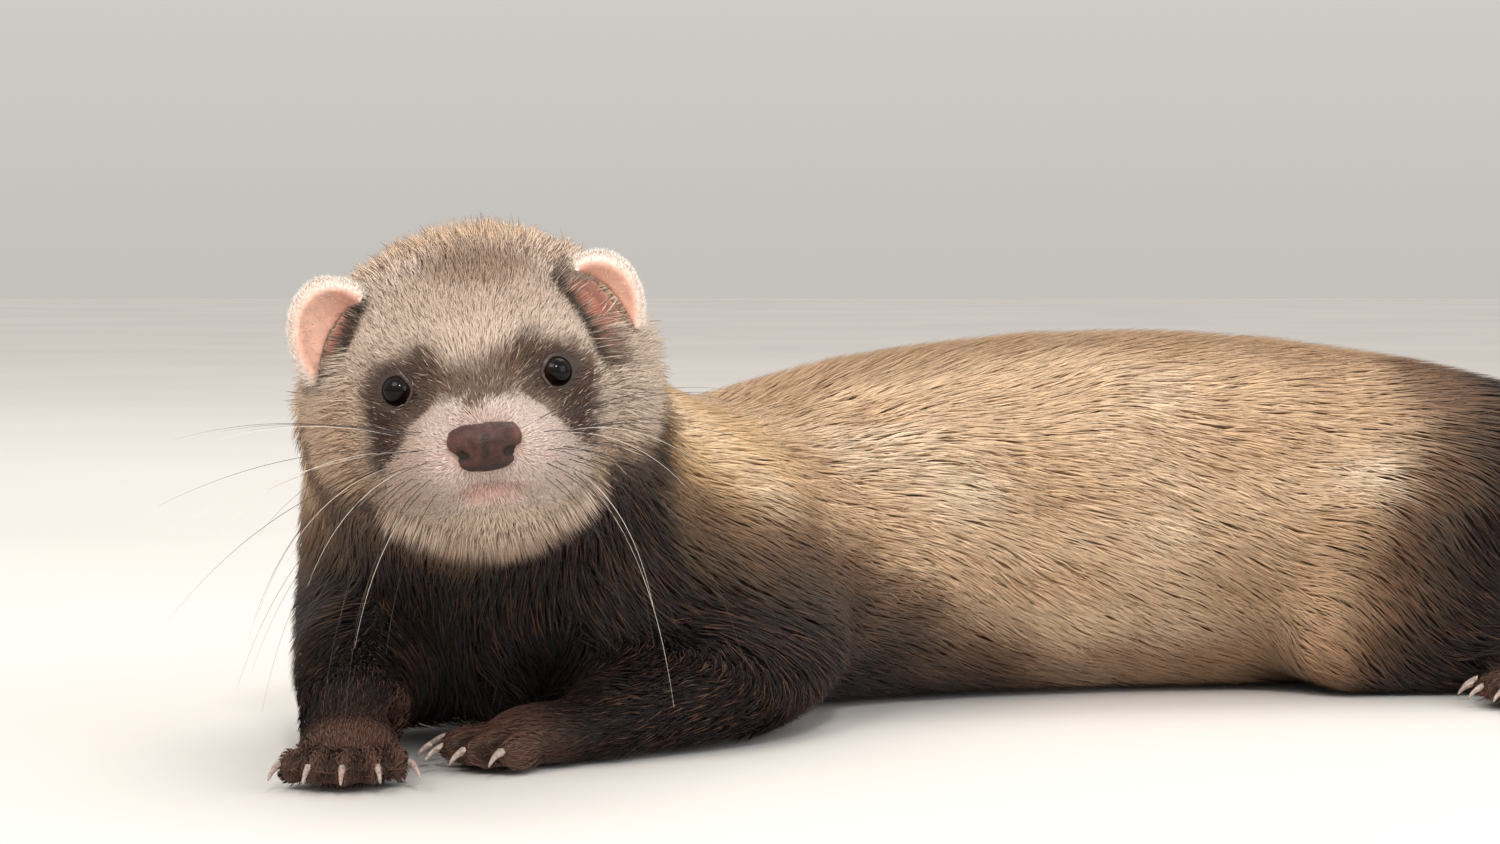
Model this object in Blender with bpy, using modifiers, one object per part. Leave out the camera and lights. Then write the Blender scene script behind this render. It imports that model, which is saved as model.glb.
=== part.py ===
"""A life-size ferret that lies on its belly with its head raised, for Blender 4.5.

Metres, +Z up. The face looks along -Y, the body runs back and towards +X, and the floor is z = 0.
The animal's own left is the +X side. The outer surface is the outline of the coat. The whole
animal is fused from named masses and limbs, and is then parted into its named pieces.
"""

import math

import bmesh
import bpy
import numpy as np
from mathutils import Matrix, Vector

MM = 0.001

# Driving sizes
EYE_HEIGHT = 72.6 * MM  # floor to the line between the eyes
EYE_SPACING = 27.6 * MM
EYE_RADIUS = 3.3 * MM
EAR_LENGTH = 24.0 * MM
NOSE_WIDTH = 12.4 * MM
CLAW_LENGTH = 6.0 * MM
BODY_HALF_WIDTH = 42.0 * MM
BACK_HEIGHT = 78.5 * MM

# The head turns a little towards its left, looks slightly up and leans over to its right
HEAD_YAW = math.radians(4.4)
HEAD_LIFT = math.radians(2.0)
HEAD_LEAN = math.radians(6.8)

# How the surface is made
GAP = 0.3 * MM  # kept between touching pieces
BLEND = 9.0 * MM  # the fillet where two masses meet
VOXEL = 1.3 * MM
SETTLE_ROUNDS = 5
MOST_MOVE = 2.0 * MM
REACH = 16.0 * MM  # a mass further from a point than this leaves it alone
FAR = 1.0
SLOPE_STEP = 0.02 * MM
FLATTEST = 0.05  # the least slope that a point is moved by
LIMB_STEPS = 8
TRUNK_STEPS = 20
TAIL_STEPS = 12
THINNING_TRIES = 4
MENDING_ROUNDS = 4
PLAIN_LEVELS = 4
WELD = 0.02 * MM
FLOOR_PRESS = 0.05 * MM  # what lies lower than this is laid on the floor

# Triangles left after thinning, before the pieces are parted
WHOLE_TRIANGLES = 7800
EAR_TRIANGLES = 340
NOSE_TRIANGLES = 420
FINE_SHARE = 0.01  # how strongly the face and paws keep their detail
PAW_WORTH = 0.5  # the detail of the paws beside that of the face
LEAST_WEIGHT = 0.2  # of the most detailed places when the surface is thinned
MORE_EACH_TRY = 1.04

# How finely balls are cut: round, and from pole to pole
BALL = (24, 14)
CUTTER_BALL = (32, 18)
EAR_BALL = (48, 28)
EYE_BALL = (16, 10)

COLOURS = {
    "head": "C9B6A2", "neck": "8A6A4C", "belly": "D0B188", "chest": "6B4D39", "rump": "6B4D39",
    "tail": "2B1D18", "foreleg": "2B1D18", "forepaw": "2B1D18", "hindleg": "2B1D18",
    "hindpaw": "2B1D18", "ear": "E0B49C", "eye": "14100F", "nose": "6E4A42", "claw": "D8CCC0",
}
ROUGHNESS = {"eye": 0.05, "nose": 0.45, "claw": 0.35}
COAT_ROUGHNESS = 0.85

FACE = (
    Matrix.Translation((0.0, 0.0, EYE_HEIGHT))
    @ Matrix.Rotation(HEAD_YAW, 4, "Z")
    @ Matrix.Rotation(-HEAD_LIFT, 4, "X")
    @ Matrix.Rotation(-HEAD_LEAN, 4, "Y")
)
UPRIGHT = Matrix.Identity(4)


class Mass:
    """An ellipsoid of flesh and coat: its middle, its three half sizes and how it is turned."""

    def __init__(self, centre, radii, turned=UPRIGHT, blend=BLEND):
        self.centre = Vector(centre)
        self.radii = Vector(radii)
        self.turned = turned.to_3x3().to_4x4()
        self.blend = blend

    def distance(self, points):
        """About how far each point is from the surface, negative inside."""
        result = np.full(len(points), FAR)
        offset = points - np.array(self.centre)
        near = (offset**2).sum(1) < (max(self.radii) + REACH) ** 2
        radii = np.array(self.radii)
        local = offset[near] @ np.array(self.turned.to_3x3())
        scaled = np.linalg.norm(local / radii, axis=1)
        slope = np.linalg.norm(local / radii**2, axis=1)
        result[near] = scaled * (scaled - 1.0) / np.maximum(slope, 1e-9)
        return result

    def frames(self, grow=0.0):
        """The matrices that turn a unit ball into this mass."""
        size = Matrix.Diagonal((*(r + grow for r in self.radii), 1.0))
        return [Matrix.Translation(self.centre) @ self.turned @ size]


class Limb:
    """A tube of flesh and coat through its joints, each x, y, z, half width and half height."""

    def __init__(self, joints, blend=BLEND, steps=LIMB_STEPS):
        self.line = smooth_line(np.array(joints, float), steps)
        self.blend = blend
        middle = self.line[:, :3]
        along = np.gradient(middle, axis=0)
        self.spacing = np.linalg.norm(along, axis=1)
        self.along = along / self.spacing[:, None]
        side = np.cross(self.along, (0.0, 0.0, 1.0))
        self.side = side / np.linalg.norm(side, axis=1)[:, None]
        self.up = np.cross(self.side, self.along)
        self.growth = np.gradient(self.line[:, 3:], axis=0) / self.spacing[:, None]

    def distance(self, points):
        """About how far each point is from the surface, negative inside."""
        middle = self.line[:, :3]
        result = np.full(len(points), FAR)
        low, high = middle.min(0), middle.max(0)
        margin = self.line[:, 3:].max() + REACH
        near = ((points > low - margin) & (points < high + margin)).all(1)
        close = points[near]
        square = (middle**2).sum(1) - 2.0 * close @ middle.T
        nearest = square.argmin(1)
        offset = close - middle[nearest]
        along = (offset * self.along[nearest]).sum(1)
        half = self.spacing[nearest] / 2
        slide = np.clip(along, -half, half)
        sizes = self.line[nearest, 3:] + self.growth[nearest] * slide[:, None]
        radii = np.column_stack([sizes, sizes.min(1)])
        local = np.column_stack([
            (offset * self.side[nearest]).sum(1),
            (offset * self.up[nearest]).sum(1),
            along - slide,
        ])
        scaled = np.linalg.norm(local / radii, axis=1)
        slope = np.linalg.norm(local / radii**2, axis=1)
        result[near] = scaled * (scaled - 1.0) / np.maximum(slope, 1e-9)
        return result

    def frames(self, grow=0.0):
        """The matrices that turn unit balls into a row of balls along the limb."""
        found = []
        rows = list(zip(self.line, self.side, self.along, self.up))
        for row, side, along, up in rows[::2] + rows[-1:]:
            width, height = row[3] + grow, row[4] + grow
            turned = Matrix((side, along, up)).transposed().to_4x4()
            size = Matrix.Diagonal((width, min(width, height), height, 1.0))
            found.append(Matrix.Translation(row[:3]) @ turned @ size)
        return found


def smooth_line(joints, steps):
    """Points on a smooth curve through the joints, steps of them from each joint to the next."""
    ends = np.vstack([2 * joints[0] - joints[1], joints, 2 * joints[-1] - joints[-2]])
    rows = []
    for a, b, c, d in zip(ends, ends[1:], ends[2:], ends[3:]):
        for t in np.arange(steps) / steps:
            rows.append(
                0.5 * (2 * b + (c - a) * t + (2 * a - 5 * b + 4 * c - d) * t**2
                       + (3 * b - a - 3 * c + d) * t**3)
            )
    rows.append(joints[-1])
    return np.array(rows)


def smooth_least(a, b, reach):
    """The lesser of two distances, rounded off where they are nearly the same."""
    overlap = np.maximum(reach - np.abs(a - b), 0.0) / reach
    return np.minimum(a, b) - overlap**2 * reach / 4


def coat_distance(points, forms, dents):
    """How far each point is from the animal's outer surface, negative inside."""
    total = forms[0].distance(points)
    for form in forms[1:]:
        total = smooth_least(total, form.distance(points), form.blend)
    for dent in dents:
        total = -smooth_least(-total, dent.distance(points), dent.blend)
    return total


def settle(points, forms, dents):
    """Draws the points onto the smooth surface that the forms make together."""
    for _ in range(SETTLE_ROUNDS):
        here = coat_distance(points, forms, dents)
        slope = np.column_stack([
            coat_distance(points + SLOPE_STEP * axis, forms, dents) - here for axis in np.eye(3)
        ]) / SLOPE_STEP
        steep = np.maximum((slope**2).sum(1), FLATTEST)
        move = slope * (here / steep)[:, None]
        length = np.maximum(np.linalg.norm(move, axis=1), 1e-12)
        points = points - move * np.minimum(1.0, MOST_MOVE / length)[:, None]
    return points


def face_mass(place, radii, side=1, blend=BLEND, turned=UPRIGHT):
    """A mass of the head: millimetres across, back and up from between the eyes."""
    x, y, z = place
    centre = FACE @ Vector((side * x * MM, y * MM, z * MM))
    return Mass(centre, [r * MM for r in radii], FACE @ turned, blend)


def paired(place, radii, blend=BLEND, yaw=0.0, roll=0.0):
    """A mass of the head and its mirror image on the other side."""
    return [
        face_mass(place, radii, side, blend,
                  Matrix.Rotation(side * yaw, 4, "Z") @ Matrix.Rotation(side * roll, 4, "Y"))
        for side in (-1, 1)
    ]


SKULL_SLOPE = Matrix.Rotation(math.radians(25), 4, "X")  # the brow runs back and up


def head_forms():
    """Skull, ruff, cheeks, forehead, muzzle and jaw, with the short coat of the face."""
    return [
        face_mass((0, 27.5, 4), (23.5, 32, 19.5), turned=SKULL_SLOPE),
        face_mass((0, 40, 0), (33, 20, 26.5)),
        face_mass((0, 9, 1.5), (17.5, 11, 9)),
        face_mass((0, -6, -7.3), (8.3, 15, 7), blend=8 * MM),
        face_mass((0, -3, -20.5), (10, 12.5, 7), blend=7 * MM),
        face_mass((0, 14, -16), (18, 20, 13.5)),
        *paired((14, 19, -6.5), (14, 18, 14.5)),
        *paired((11, 4, -12.5), (8.5, 12, 8), blend=8 * MM),
        *paired((6.2, -11.5, -13), (8.2, 9.5, 7), blend=5 * MM),
    ]


EYE_PLACE = (EYE_SPACING / 2 / MM, 3.0, 0.0)
EYE_OUT = math.radians(36)  # how far each eye looks outwards


def eye_centre(side):
    x, y, z = EYE_PLACE
    return FACE @ Vector((side * x * MM, y * MM, z * MM))


def head_dents():
    """The hollows that the eyes lie in."""
    return paired((15.5, -3.2, -0.3), (5.6, 5.0, 4.8), blend=5 * MM)


MOUTH = [(0, -17, -17.8), (3.4, -16, -19.0), (7.2, -13, -20.4), (10.8, -8, -20.6),
         (13.4, -2.5, -18.6)]  # millimetres in the face, from the middle to the right corner
MOUTH_GROOVE = 1.0 * MM


def mouth_groove(forms):
    """The line of the mouth, corner to corner, and the groove from the nose down to it."""
    right = [FACE @ Vector((x * MM, y * MM, z * MM)) for x, y, z in MOUTH]
    left = [FACE @ Vector((-x * MM, y * MM, z * MM)) for x, y, z in reversed(MOUTH[1:])]
    philtrum = [FACE @ Vector((0, -19.5 * MM, z * MM)) for z in (-15.0, -16.4, -17.8)]
    grooves = []
    for line in (left + right, philtrum):
        on_coat = settle(np.array(line), forms, [])
        joints = [(*p, MOUTH_GROOVE, MOUTH_GROOVE) for p in on_coat]
        grooves.append(Limb(joints, blend=1.2 * MM, steps=6))
    return grooves


LID_STEPS = 12
LID_RADIUS = 3.0  # millimetres from the middle of the eye
LID_FRONT = 1.7
LID = (1.2, 1.0, 1.2)


def lips_and_lids():
    """The lower lip, and the rim of the lids round each eye as a ring of low swellings."""
    forms = [face_mass((0, -13.4, -20.2), (6.0, 3.4, 1.9), blend=3 * MM)]
    for side in (-1, 1):
        x, y, z = EYE_PLACE
        facing = Matrix.Rotation(side * EYE_OUT, 4, "Z")
        for step in range(LID_STEPS):
            angle = 2 * math.pi * step / LID_STEPS
            ring = facing @ Vector((LID_RADIUS * math.cos(angle), -LID_FRONT,
                                    LID_RADIUS * 1.04 * math.sin(angle)))
            place = (side * x + ring.x, y + ring.y, z + ring.z)
            forms.append(face_mass(place, LID, blend=1.6 * MM, turned=facing))
    return forms


# The trunk from the nape to the tail, along the animal: x, y, z, half width, half height
TRUNK = [
    (0.000, 0.030, 0.0690, 0.0300, 0.0280),
    (-0.0025, 0.052, 0.0570, 0.0345, 0.0320),
    (0.0070, 0.080, 0.0400, 0.0415, 0.0365),
    (0.0360, 0.113, 0.0320, 0.0400, 0.0340),
    (0.0734, 0.139, 0.0355, 0.0410, 0.0385),
    (0.1134, 0.154, BACK_HEIGHT / 2 - 0.0015, BODY_HALF_WIDTH, BACK_HEIGHT / 2 + 0.0015),
    (0.1534, 0.161, BACK_HEIGHT / 2 - 0.0015, BODY_HALF_WIDTH, BACK_HEIGHT / 2 + 0.0010),
    (0.1934, 0.167, 0.0350, 0.0390, 0.0375),
    (0.2204, 0.172, 0.0310, 0.0340, 0.0335),
    (0.2500, 0.180, 0.0235, 0.0230, 0.0235),
]

TAIL = [
    (0.2460, 0.1790, 0.0260, 0.0170, 0.0170),
    (0.2800, 0.1880, 0.0165, 0.0160, 0.0165),
    (0.3200, 0.2000, 0.0160, 0.0165, 0.0165),
    (0.3540, 0.2150, 0.0140, 0.0150, 0.0145),
    (0.3780, 0.2340, 0.0115, 0.0125, 0.0118),
    (0.3920, 0.2520, 0.0080, 0.0080, 0.0080),
    (0.4000, 0.2680, 0.0045, 0.0022, 0.0024),
]

BREAST = ((0.0010, 0.0700, 0.0245), (0.0290, 0.0290, 0.0243))

# Each foreleg: shoulder mass, joints down to the wrist, middle of the palm and way the toes point
FORELEGS = {
    "left": {
        "shoulder": ((0.0450, 0.0880, 0.0300), (0.0180, 0.0270, 0.0270)),
        "joints": [(0.0540, 0.0800, 0.0165, 0.0150, 0.0145),
                   (0.0420, 0.0560, 0.0110, 0.0122, 0.0115),
                   (0.0225, 0.0375, 0.0075, 0.0098, 0.0082)],
        "palm": (0.0100, 0.0290, 0.0055),
        "heading": math.radians(213),
        "cutter": ((0.0230, 0.0430, 0.0050), (0.0520, 0.0190, 0.0190), math.radians(37)),
    },
    "right": {
        "shoulder": ((-0.0210, 0.0740, 0.0320), (0.0175, 0.0270, 0.0280)),
        "joints": [(-0.0270, 0.0700, 0.0190, 0.0140, 0.0150),
                   (-0.0265, 0.0450, 0.0140, 0.0120, 0.0130),
                   (-0.0245, 0.0240, 0.0100, 0.0105, 0.0100)],
        "palm": (-0.0240, 0.0110, 0.0062),
        "heading": math.radians(272),
        "cutter": ((-0.0260, 0.0330, 0.0050), (0.0500, 0.0180, 0.0230), math.radians(90)),
    },
}
PALM = (0.0120, 0.0098, 0.0064)  # half length, width and height
TOE = (0.0070, 0.0026, 0.0042)
# Each toe: millimetres forward and across from the middle of the palm, and its turn in degrees
TOES = [(8.8, -9.1, -26), (13.2, -4.8, -12), (15.0, -0.1, 0), (13.7, 4.7, 11), (9.8, 9.0, 24)]
TOE_HEIGHT = 0.0040

# The hind legs lie folded beside the rump: along the body, outwards and up from under the hips
HIPS = Matrix.Translation((0.2070, 0.1695, 0.0)) @ Matrix.Rotation(math.radians(11), 4, "Z")
THIGH = ((-0.0080, 0.0245, 0.0300), (0.0360, 0.0180, 0.0290))
SHANK = [(-0.0360, 0.0300, 0.0150, 0.0120, 0.0140), (0.0000, 0.0320, 0.0135, 0.0115, 0.0130),
         (0.0340, 0.0320, 0.0130, 0.0105, 0.0120)]
FOOT = [(0.0390, 0.0370, 0.0100, 0.0085, 0.0090), (0.0240, 0.0470, 0.0078, 0.0080, 0.0078),
        (0.0090, 0.0530, 0.0062, 0.0085, 0.0062)]
HIND_PALM = (0.0040, 0.0545, 0.0056)
HIND_HEADING = math.radians(192)
HIND_LEG_CUTTER = ((0.0010, 0.0500, 0.0120), (0.0580, 0.0300, 0.0440))
HIND_PAW_CUTTER = ((-0.0030, 0.0580, 0.0040), (0.0310, 0.0135, 0.0150))


def hip_point(place, side):
    """A place beside the hips, mirrored for the right leg, with any half sizes kept."""
    along, out, up, *sizes = place
    return (*(HIPS @ Vector((along, -side * out, up))), *sizes)


def toes(palm, heading, side):
    """The palm and five toes of a paw, and each toe's tip and the way it points."""
    turned = Matrix.Rotation(heading, 4, "Z")
    forms = [Mass(palm, PALM, turned, blend=5 * MM)]
    tips = []
    for forward, across, angle in TOES:
        pointed = Matrix.Rotation(heading + side * math.radians(angle), 4, "Z")
        way = pointed @ Vector((1.0, 0.0, 0.0))
        middle = Vector((palm[0], palm[1], 0.0)) + turned @ Vector(
            (forward * MM, side * across * MM, TOE_HEIGHT))
        forms.append(Mass(middle, TOE, pointed, blend=1.5 * MM))
        tips.append((middle + way * TOE[0], way))
    return forms, tips


def linked(name, mesh):
    """A new object of the scene that shows the mesh."""
    obj = bpy.data.objects.new(name, mesh)
    bpy.context.scene.collection.objects.link(obj)
    return obj


def balls(name, frames, fineness=BALL):
    """One mesh that holds a ball for each frame."""
    shell = bmesh.new()
    around, rings = fineness
    bmesh.ops.create_uvsphere(shell, u_segments=around, v_segments=rings, radius=1.0)
    corners = np.array([v.co[:] for v in shell.verts])
    faces = [[v.index for v in f.verts] for f in shell.faces]
    shell.free()
    points = []
    loops = []
    for number, frame in enumerate(frames):
        matrix = np.array(frame)
        points.append(corners @ matrix[:3, :3].T + matrix[:3, 3])
        first = number * len(corners)
        loops += [[first + v for v in face] for face in faces]
    mesh = bpy.data.meshes.new(name)
    mesh.from_pydata(np.vstack(points).tolist(), [], loops)
    return linked(name, mesh)


def clay(name, frames, voxel):
    """Balls fused into one closed mesh by a voxel remesh."""
    obj = balls(name, frames)
    fuse = obj.modifiers.new("Fuse", "REMESH")
    fuse.mode = "VOXEL"
    fuse.voxel_size = voxel
    return applied(obj)


def applied(obj):
    """The object with its modifiers made real."""
    bpy.context.view_layer.update()
    evaluated = obj.evaluated_get(bpy.context.evaluated_depsgraph_get())
    mesh = bpy.data.meshes.new_from_object(evaluated)
    old = obj.data
    obj.modifiers.clear()
    obj.data = mesh
    bpy.data.meshes.remove(old)
    return obj


def positions(mesh):
    flat = np.empty(len(mesh.vertices) * 3, np.float32)
    mesh.vertices.foreach_get("co", flat)
    return flat.reshape(-1, 3).astype(float)


def refine(obj, spots):
    """Splits the faces near each spot, so that they can hold small forms."""
    shell = bmesh.new()
    shell.from_mesh(obj.data)
    shell.verts.ensure_lookup_table()
    places = positions(obj.data)
    close = np.zeros(len(places), bool)
    for spot, radius in spots:
        close |= np.linalg.norm(places - np.array(spot), axis=1) < radius
    edges = [e for e in shell.edges if close[e.verts[0].index] and close[e.verts[1].index]]
    bmesh.ops.subdivide_edges(shell, edges=edges, cuts=1, use_grid_fill=True)
    bmesh.ops.triangulate(shell, faces=shell.faces[:])
    shell.to_mesh(obj.data)
    shell.free()


def reshape(obj, points):
    obj.data.vertices.foreach_set("co", points.astype(np.float32).ravel())
    obj.data.update()


def press_on_floor(obj):
    """Flattens what would sink into the floor, so that the belly and paws have flats."""
    points = positions(obj.data)
    points[:, 2] = np.where(points[:, 2] < FLOOR_PRESS, 0.0, points[:, 2])
    reshape(obj, points)


def grown(obj, by, name="grown"):
    """A copy whose surface stands further out."""
    copy = bpy.data.objects.new(name, obj.data.copy())
    bpy.context.scene.collection.objects.link(copy)
    normals = np.empty(len(copy.data.vertices) * 3, np.float32)
    copy.data.vertices.foreach_get("normal", normals)
    reshape(copy, positions(copy.data) + by * normals.reshape(-1, 3))
    return copy


def duplicate(obj, name):
    copy = bpy.data.objects.new(name, obj.data.copy())
    bpy.context.scene.collection.objects.link(copy)
    return copy


def discard(*objects):
    for obj in objects:
        bpy.data.objects.remove(obj)


def boolean(obj, cutter, operation, solver="MANIFOLD"):
    """Cuts or keeps by the cutter. Fine closed meshes go through the fast solver."""
    cut = obj.modifiers.new("Cut", "BOOLEAN")
    cut.operation = operation
    cut.solver = solver
    cut.object = cutter
    return applied(obj)


def parted(obj, name, cutter_mass):
    """Takes the part inside the cutter off the object, and returns it under its own name."""
    inner = ball_object("cutter", cutter_mass, -GAP / 2)
    outer = ball_object("cutter", cutter_mass, GAP / 2)
    piece = boolean(duplicate(obj, name), inner, "INTERSECT")
    largest(boolean(obj, outer, "DIFFERENCE"))
    discard(inner, outer)
    return largest(piece)


def ball_object(name, mass, grow=0.0, fineness=CUTTER_BALL):
    return balls(name, mass.frames(grow), fineness)


def largest(obj):
    """Keeps the largest closed surface of the object."""
    shell = bmesh.new()
    shell.from_mesh(obj.data)
    left = set(shell.verts)
    groups = []
    while left:
        found = {left.pop()}
        edge = list(found)
        while edge:
            near = {e.other_vert(v) for v in edge for e in v.link_edges} - found
            found |= near
            edge = list(near)
        left -= found
        groups.append(found)
    keep = max(groups, key=len)
    bmesh.ops.delete(shell, geom=[v for v in shell.verts if v not in keep], context="VERTS")
    shell.to_mesh(obj.data)
    shell.free()
    return obj


def sliced(obj, name, point, way):
    """Cuts the object by a plane. What lies beyond, along the way, is returned as a new piece."""
    piece = duplicate(obj, name)
    for half, sign in ((obj, -1), (piece, 1)):
        shell = bmesh.new()
        shell.from_mesh(half.data)
        bmesh.ops.bisect_plane(
            shell, geom=shell.verts[:] + shell.edges[:] + shell.faces[:], dist=1e-7,
            plane_co=Vector(point) + sign * way * GAP / 2, plane_no=way,
            clear_inner=sign > 0, clear_outer=sign < 0,
        )
        rim = [e for e in shell.edges if e.is_boundary]
        bmesh.ops.holes_fill(shell, edges=rim)
        bmesh.ops.triangulate(shell, faces=shell.faces[:])
        shell.to_mesh(half.data)
        shell.free()
        largest(half)
    return piece


def mended(obj):
    """Joins corners that nearly meet and closes over folds. True if it left a closed surface."""
    for _ in range(MENDING_ROUNDS):
        shell = bmesh.new()
        shell.from_mesh(obj.data)
        bmesh.ops.remove_doubles(shell, verts=shell.verts[:], dist=WELD)
        bmesh.ops.dissolve_degenerate(shell, edges=shell.edges[:], dist=WELD / 2)
        bmesh.ops.triangulate(shell, faces=shell.faces[:])
        shell.verts.index_update()
        seen = {}
        for face in shell.faces:
            seen.setdefault(frozenset(v.index for v in face.verts), []).append(face)
        folded = {f for same in seen.values() if len(same) > 1 for f in same}
        folded |= {f for e in shell.edges if not e.is_manifold for f in e.link_faces}
        if folded:
            bmesh.ops.delete(shell, geom=list(folded), context="FACES")
            bmesh.ops.holes_fill(shell, edges=[e for e in shell.edges if e.is_boundary])
            bmesh.ops.triangulate(shell, faces=shell.faces[:])
        shell.to_mesh(obj.data)
        shell.free()
        largest(obj)
        if not folded:
            return True
    return False


def mark_plain(obj, spots):
    """Weighs what may be thinned: all of it far from the spots, and little of it near them."""
    places = positions(obj.data)
    detail = np.zeros(len(places))
    for spot, radius, worth in spots:
        away = np.linalg.norm(places - np.array(spot), axis=1)
        detail = np.maximum(detail, worth * np.clip(2.0 - away / radius, 0.0, 1.0))
    group = obj.vertex_groups.new(name="plain")
    for level in range(PLAIN_LEVELS + 1):
        rows = np.flatnonzero(np.round(detail * PLAIN_LEVELS) == level)
        weight = 1.0 - (1.0 - LEAST_WEIGHT) * level / PLAIN_LEVELS
        group.add(rows.tolist(), weight, "REPLACE")


def thinned(obj, triangles):
    """Fewer triangles, kept where the surface bends most, and still one closed surface."""
    fine = obj.data.copy()
    fine.calc_loop_triangles()
    share = triangles / len(fine.loop_triangles)
    for _ in range(THINNING_TRIES):
        fewer = obj.modifiers.new("Thin", "DECIMATE")
        fewer.ratio = min(1.0, share)
        fewer.use_collapse_triangulate = True
        if obj.vertex_groups:
            fewer.vertex_group = "plain"
            fewer.vertex_group_factor = FINE_SHARE
        applied(obj)
        press_on_floor(obj)
        if mended(obj):
            return obj
        obj.data = fine.copy()
        share *= MORE_EACH_TRY
    raise ValueError(f"{obj.name} does not stay closed")


EAR_PLACE = {1: (22.8, 9.2), -1: (23.8, 10.2)}  # millimetres out and up, left and right
EAR_BACK = 21.5
EAR_TURN = math.radians(24)  # how far each ear faces outwards
EAR_TILT = math.radians(21)
EAR_HALF_DEPTH = 5.2
EAR_WIDTH = 0.80  # of its length
CUP_DEPTH = 6.6
CUP_AHEAD = 5.4
CUP_WIDTH = 0.68
CUP_HEIGHT = 0.86
EAR_VOXEL = 0.6 * MM


def ear(side):
    """A rounded cup that faces forwards and outwards, hollowed by a smaller ball."""
    turned = Matrix.Rotation(side * EAR_TURN, 4, "Z") @ Matrix.Rotation(
        side * EAR_TILT, 4, "Y")
    half = EAR_LENGTH / 2 / MM
    out, up = EAR_PLACE[side]
    cup = face_mass((out, EAR_BACK, up), (half * EAR_WIDTH, EAR_HALF_DEPTH, half), side,
                    turned=turned)
    hollow = face_mass((out + 0.8, EAR_BACK - CUP_AHEAD, up),
                       (half * CUP_WIDTH, CUP_DEPTH, half * CUP_HEIGHT), side, turned=turned)
    name = "ear_left" if side > 0 else "ear_right"
    obj = ball_object(name, cup, 0.0, EAR_BALL)
    scoop = ball_object("scoop", hollow, 0.0, EAR_BALL)
    boolean(obj, scoop, "DIFFERENCE")
    discard(scoop)
    soften = obj.modifiers.new("Soften", "REMESH")
    soften.mode = "VOXEL"
    soften.voxel_size = EAR_VOXEL
    smooth = obj.modifiers.new("Smooth", "SMOOTH")
    smooth.iterations = 4
    return thinned(applied(obj), EAR_TRIANGLES)


NOSE_VOXEL = 0.4 * MM
NOSE_DRAWN = 12.4 * MM  # the width that the masses of the nose are given for


def nose():
    """The bare nose pad: two wings and a middle, with a nostril opening to each side."""
    forms = [
        face_mass((0, -19.6, -10.9), (4.8, 4.2, 4.3), blend=2.5 * MM),
        *paired((3.4, -18.7, -10.6), (3.0, 3.6, 3.4), blend=2.5 * MM),
        *paired((2.0, -19.2, -13.6), (2.5, 3.0, 1.7), blend=1.5 * MM),
    ]
    dents = [
        *paired((4.0, -22.4, -12.3), (1.3, 2.2, 0.8), blend=0.8 * MM, roll=math.radians(-25)),
        *paired((6.2, -19.8, -12.6), (1.8, 1.6, 0.7), blend=0.8 * MM, roll=math.radians(15)),
        face_mass((0, -24.0, -12.6), (0.4, 1.0, 4.0), blend=0.8 * MM),
    ]
    wide = NOSE_WIDTH / NOSE_DRAWN
    for form in forms:
        form.radii.x *= wide
    obj = clay("nose", [f for form in forms for f in form.frames()], NOSE_VOXEL)
    reshape(obj, settle(positions(obj.data), forms, dents))
    return thinned(obj, NOSE_TRIANGLES)


CLAW_RINGS = 5
CLAW_SIDES = 6
CLAW_BASE = 1.05 * MM
CLAW_CURL = math.radians(62)
CLAW_SEAT = 1.5 * MM  # how far back into the toe the claw begins
CLAW_RISE = 1.0 * MM  # above the middle of the toe
CLAW_TAPER = 0.75
CLAW_FLATNESS = 0.8
CLAW_CLEARANCE = 0.4 * MM


def claw(name, tip, way):
    """A curved cone that leaves the toe above its tip and curls down to just above the floor."""
    side = way.cross(Vector((0, 0, 1))).normalized()
    radius = CLAW_LENGTH / CLAW_CURL
    root = tip - way * CLAW_SEAT
    root.z = TOE_HEIGHT + CLAW_RISE
    shell = bmesh.new()
    rings = []
    for step in range(CLAW_RINGS):
        share = step / CLAW_RINGS
        turn = CLAW_CURL * share
        place = root + way * radius * math.sin(turn)
        place.z -= radius * (1 - math.cos(turn))
        along = way * math.cos(turn) - Vector((0, 0, math.sin(turn)))
        across = side.cross(along)
        wide = CLAW_BASE * (1 - CLAW_TAPER * share)
        rings.append([
            shell.verts.new(
                place + wide * (CLAW_FLATNESS * side * math.cos(a) + across * math.sin(a)))
            for a in (2 * math.pi * k / CLAW_SIDES for k in range(CLAW_SIDES))
        ])
    end = root + way * radius * math.sin(CLAW_CURL)
    end.z = max(root.z - radius * (1 - math.cos(CLAW_CURL)), CLAW_CLEARANCE)
    point = shell.verts.new(end)
    for low, high in zip(rings, rings[1:]):
        for k in range(CLAW_SIDES):
            nxt = (k + 1) % CLAW_SIDES
            shell.faces.new((low[k], low[nxt], high[nxt], high[k]))
    for k in range(CLAW_SIDES):
        shell.faces.new((rings[-1][k], rings[-1][(k + 1) % CLAW_SIDES], point))
    shell.faces.new(reversed(rings[0]))
    bmesh.ops.recalc_face_normals(shell, faces=shell.faces[:])
    bmesh.ops.triangulate(shell, faces=shell.faces[:])
    mesh = bpy.data.meshes.new(name)
    shell.to_mesh(mesh)
    shell.free()
    obj = bpy.data.objects.new(name, mesh)
    bpy.context.scene.collection.objects.link(obj)
    return obj


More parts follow.
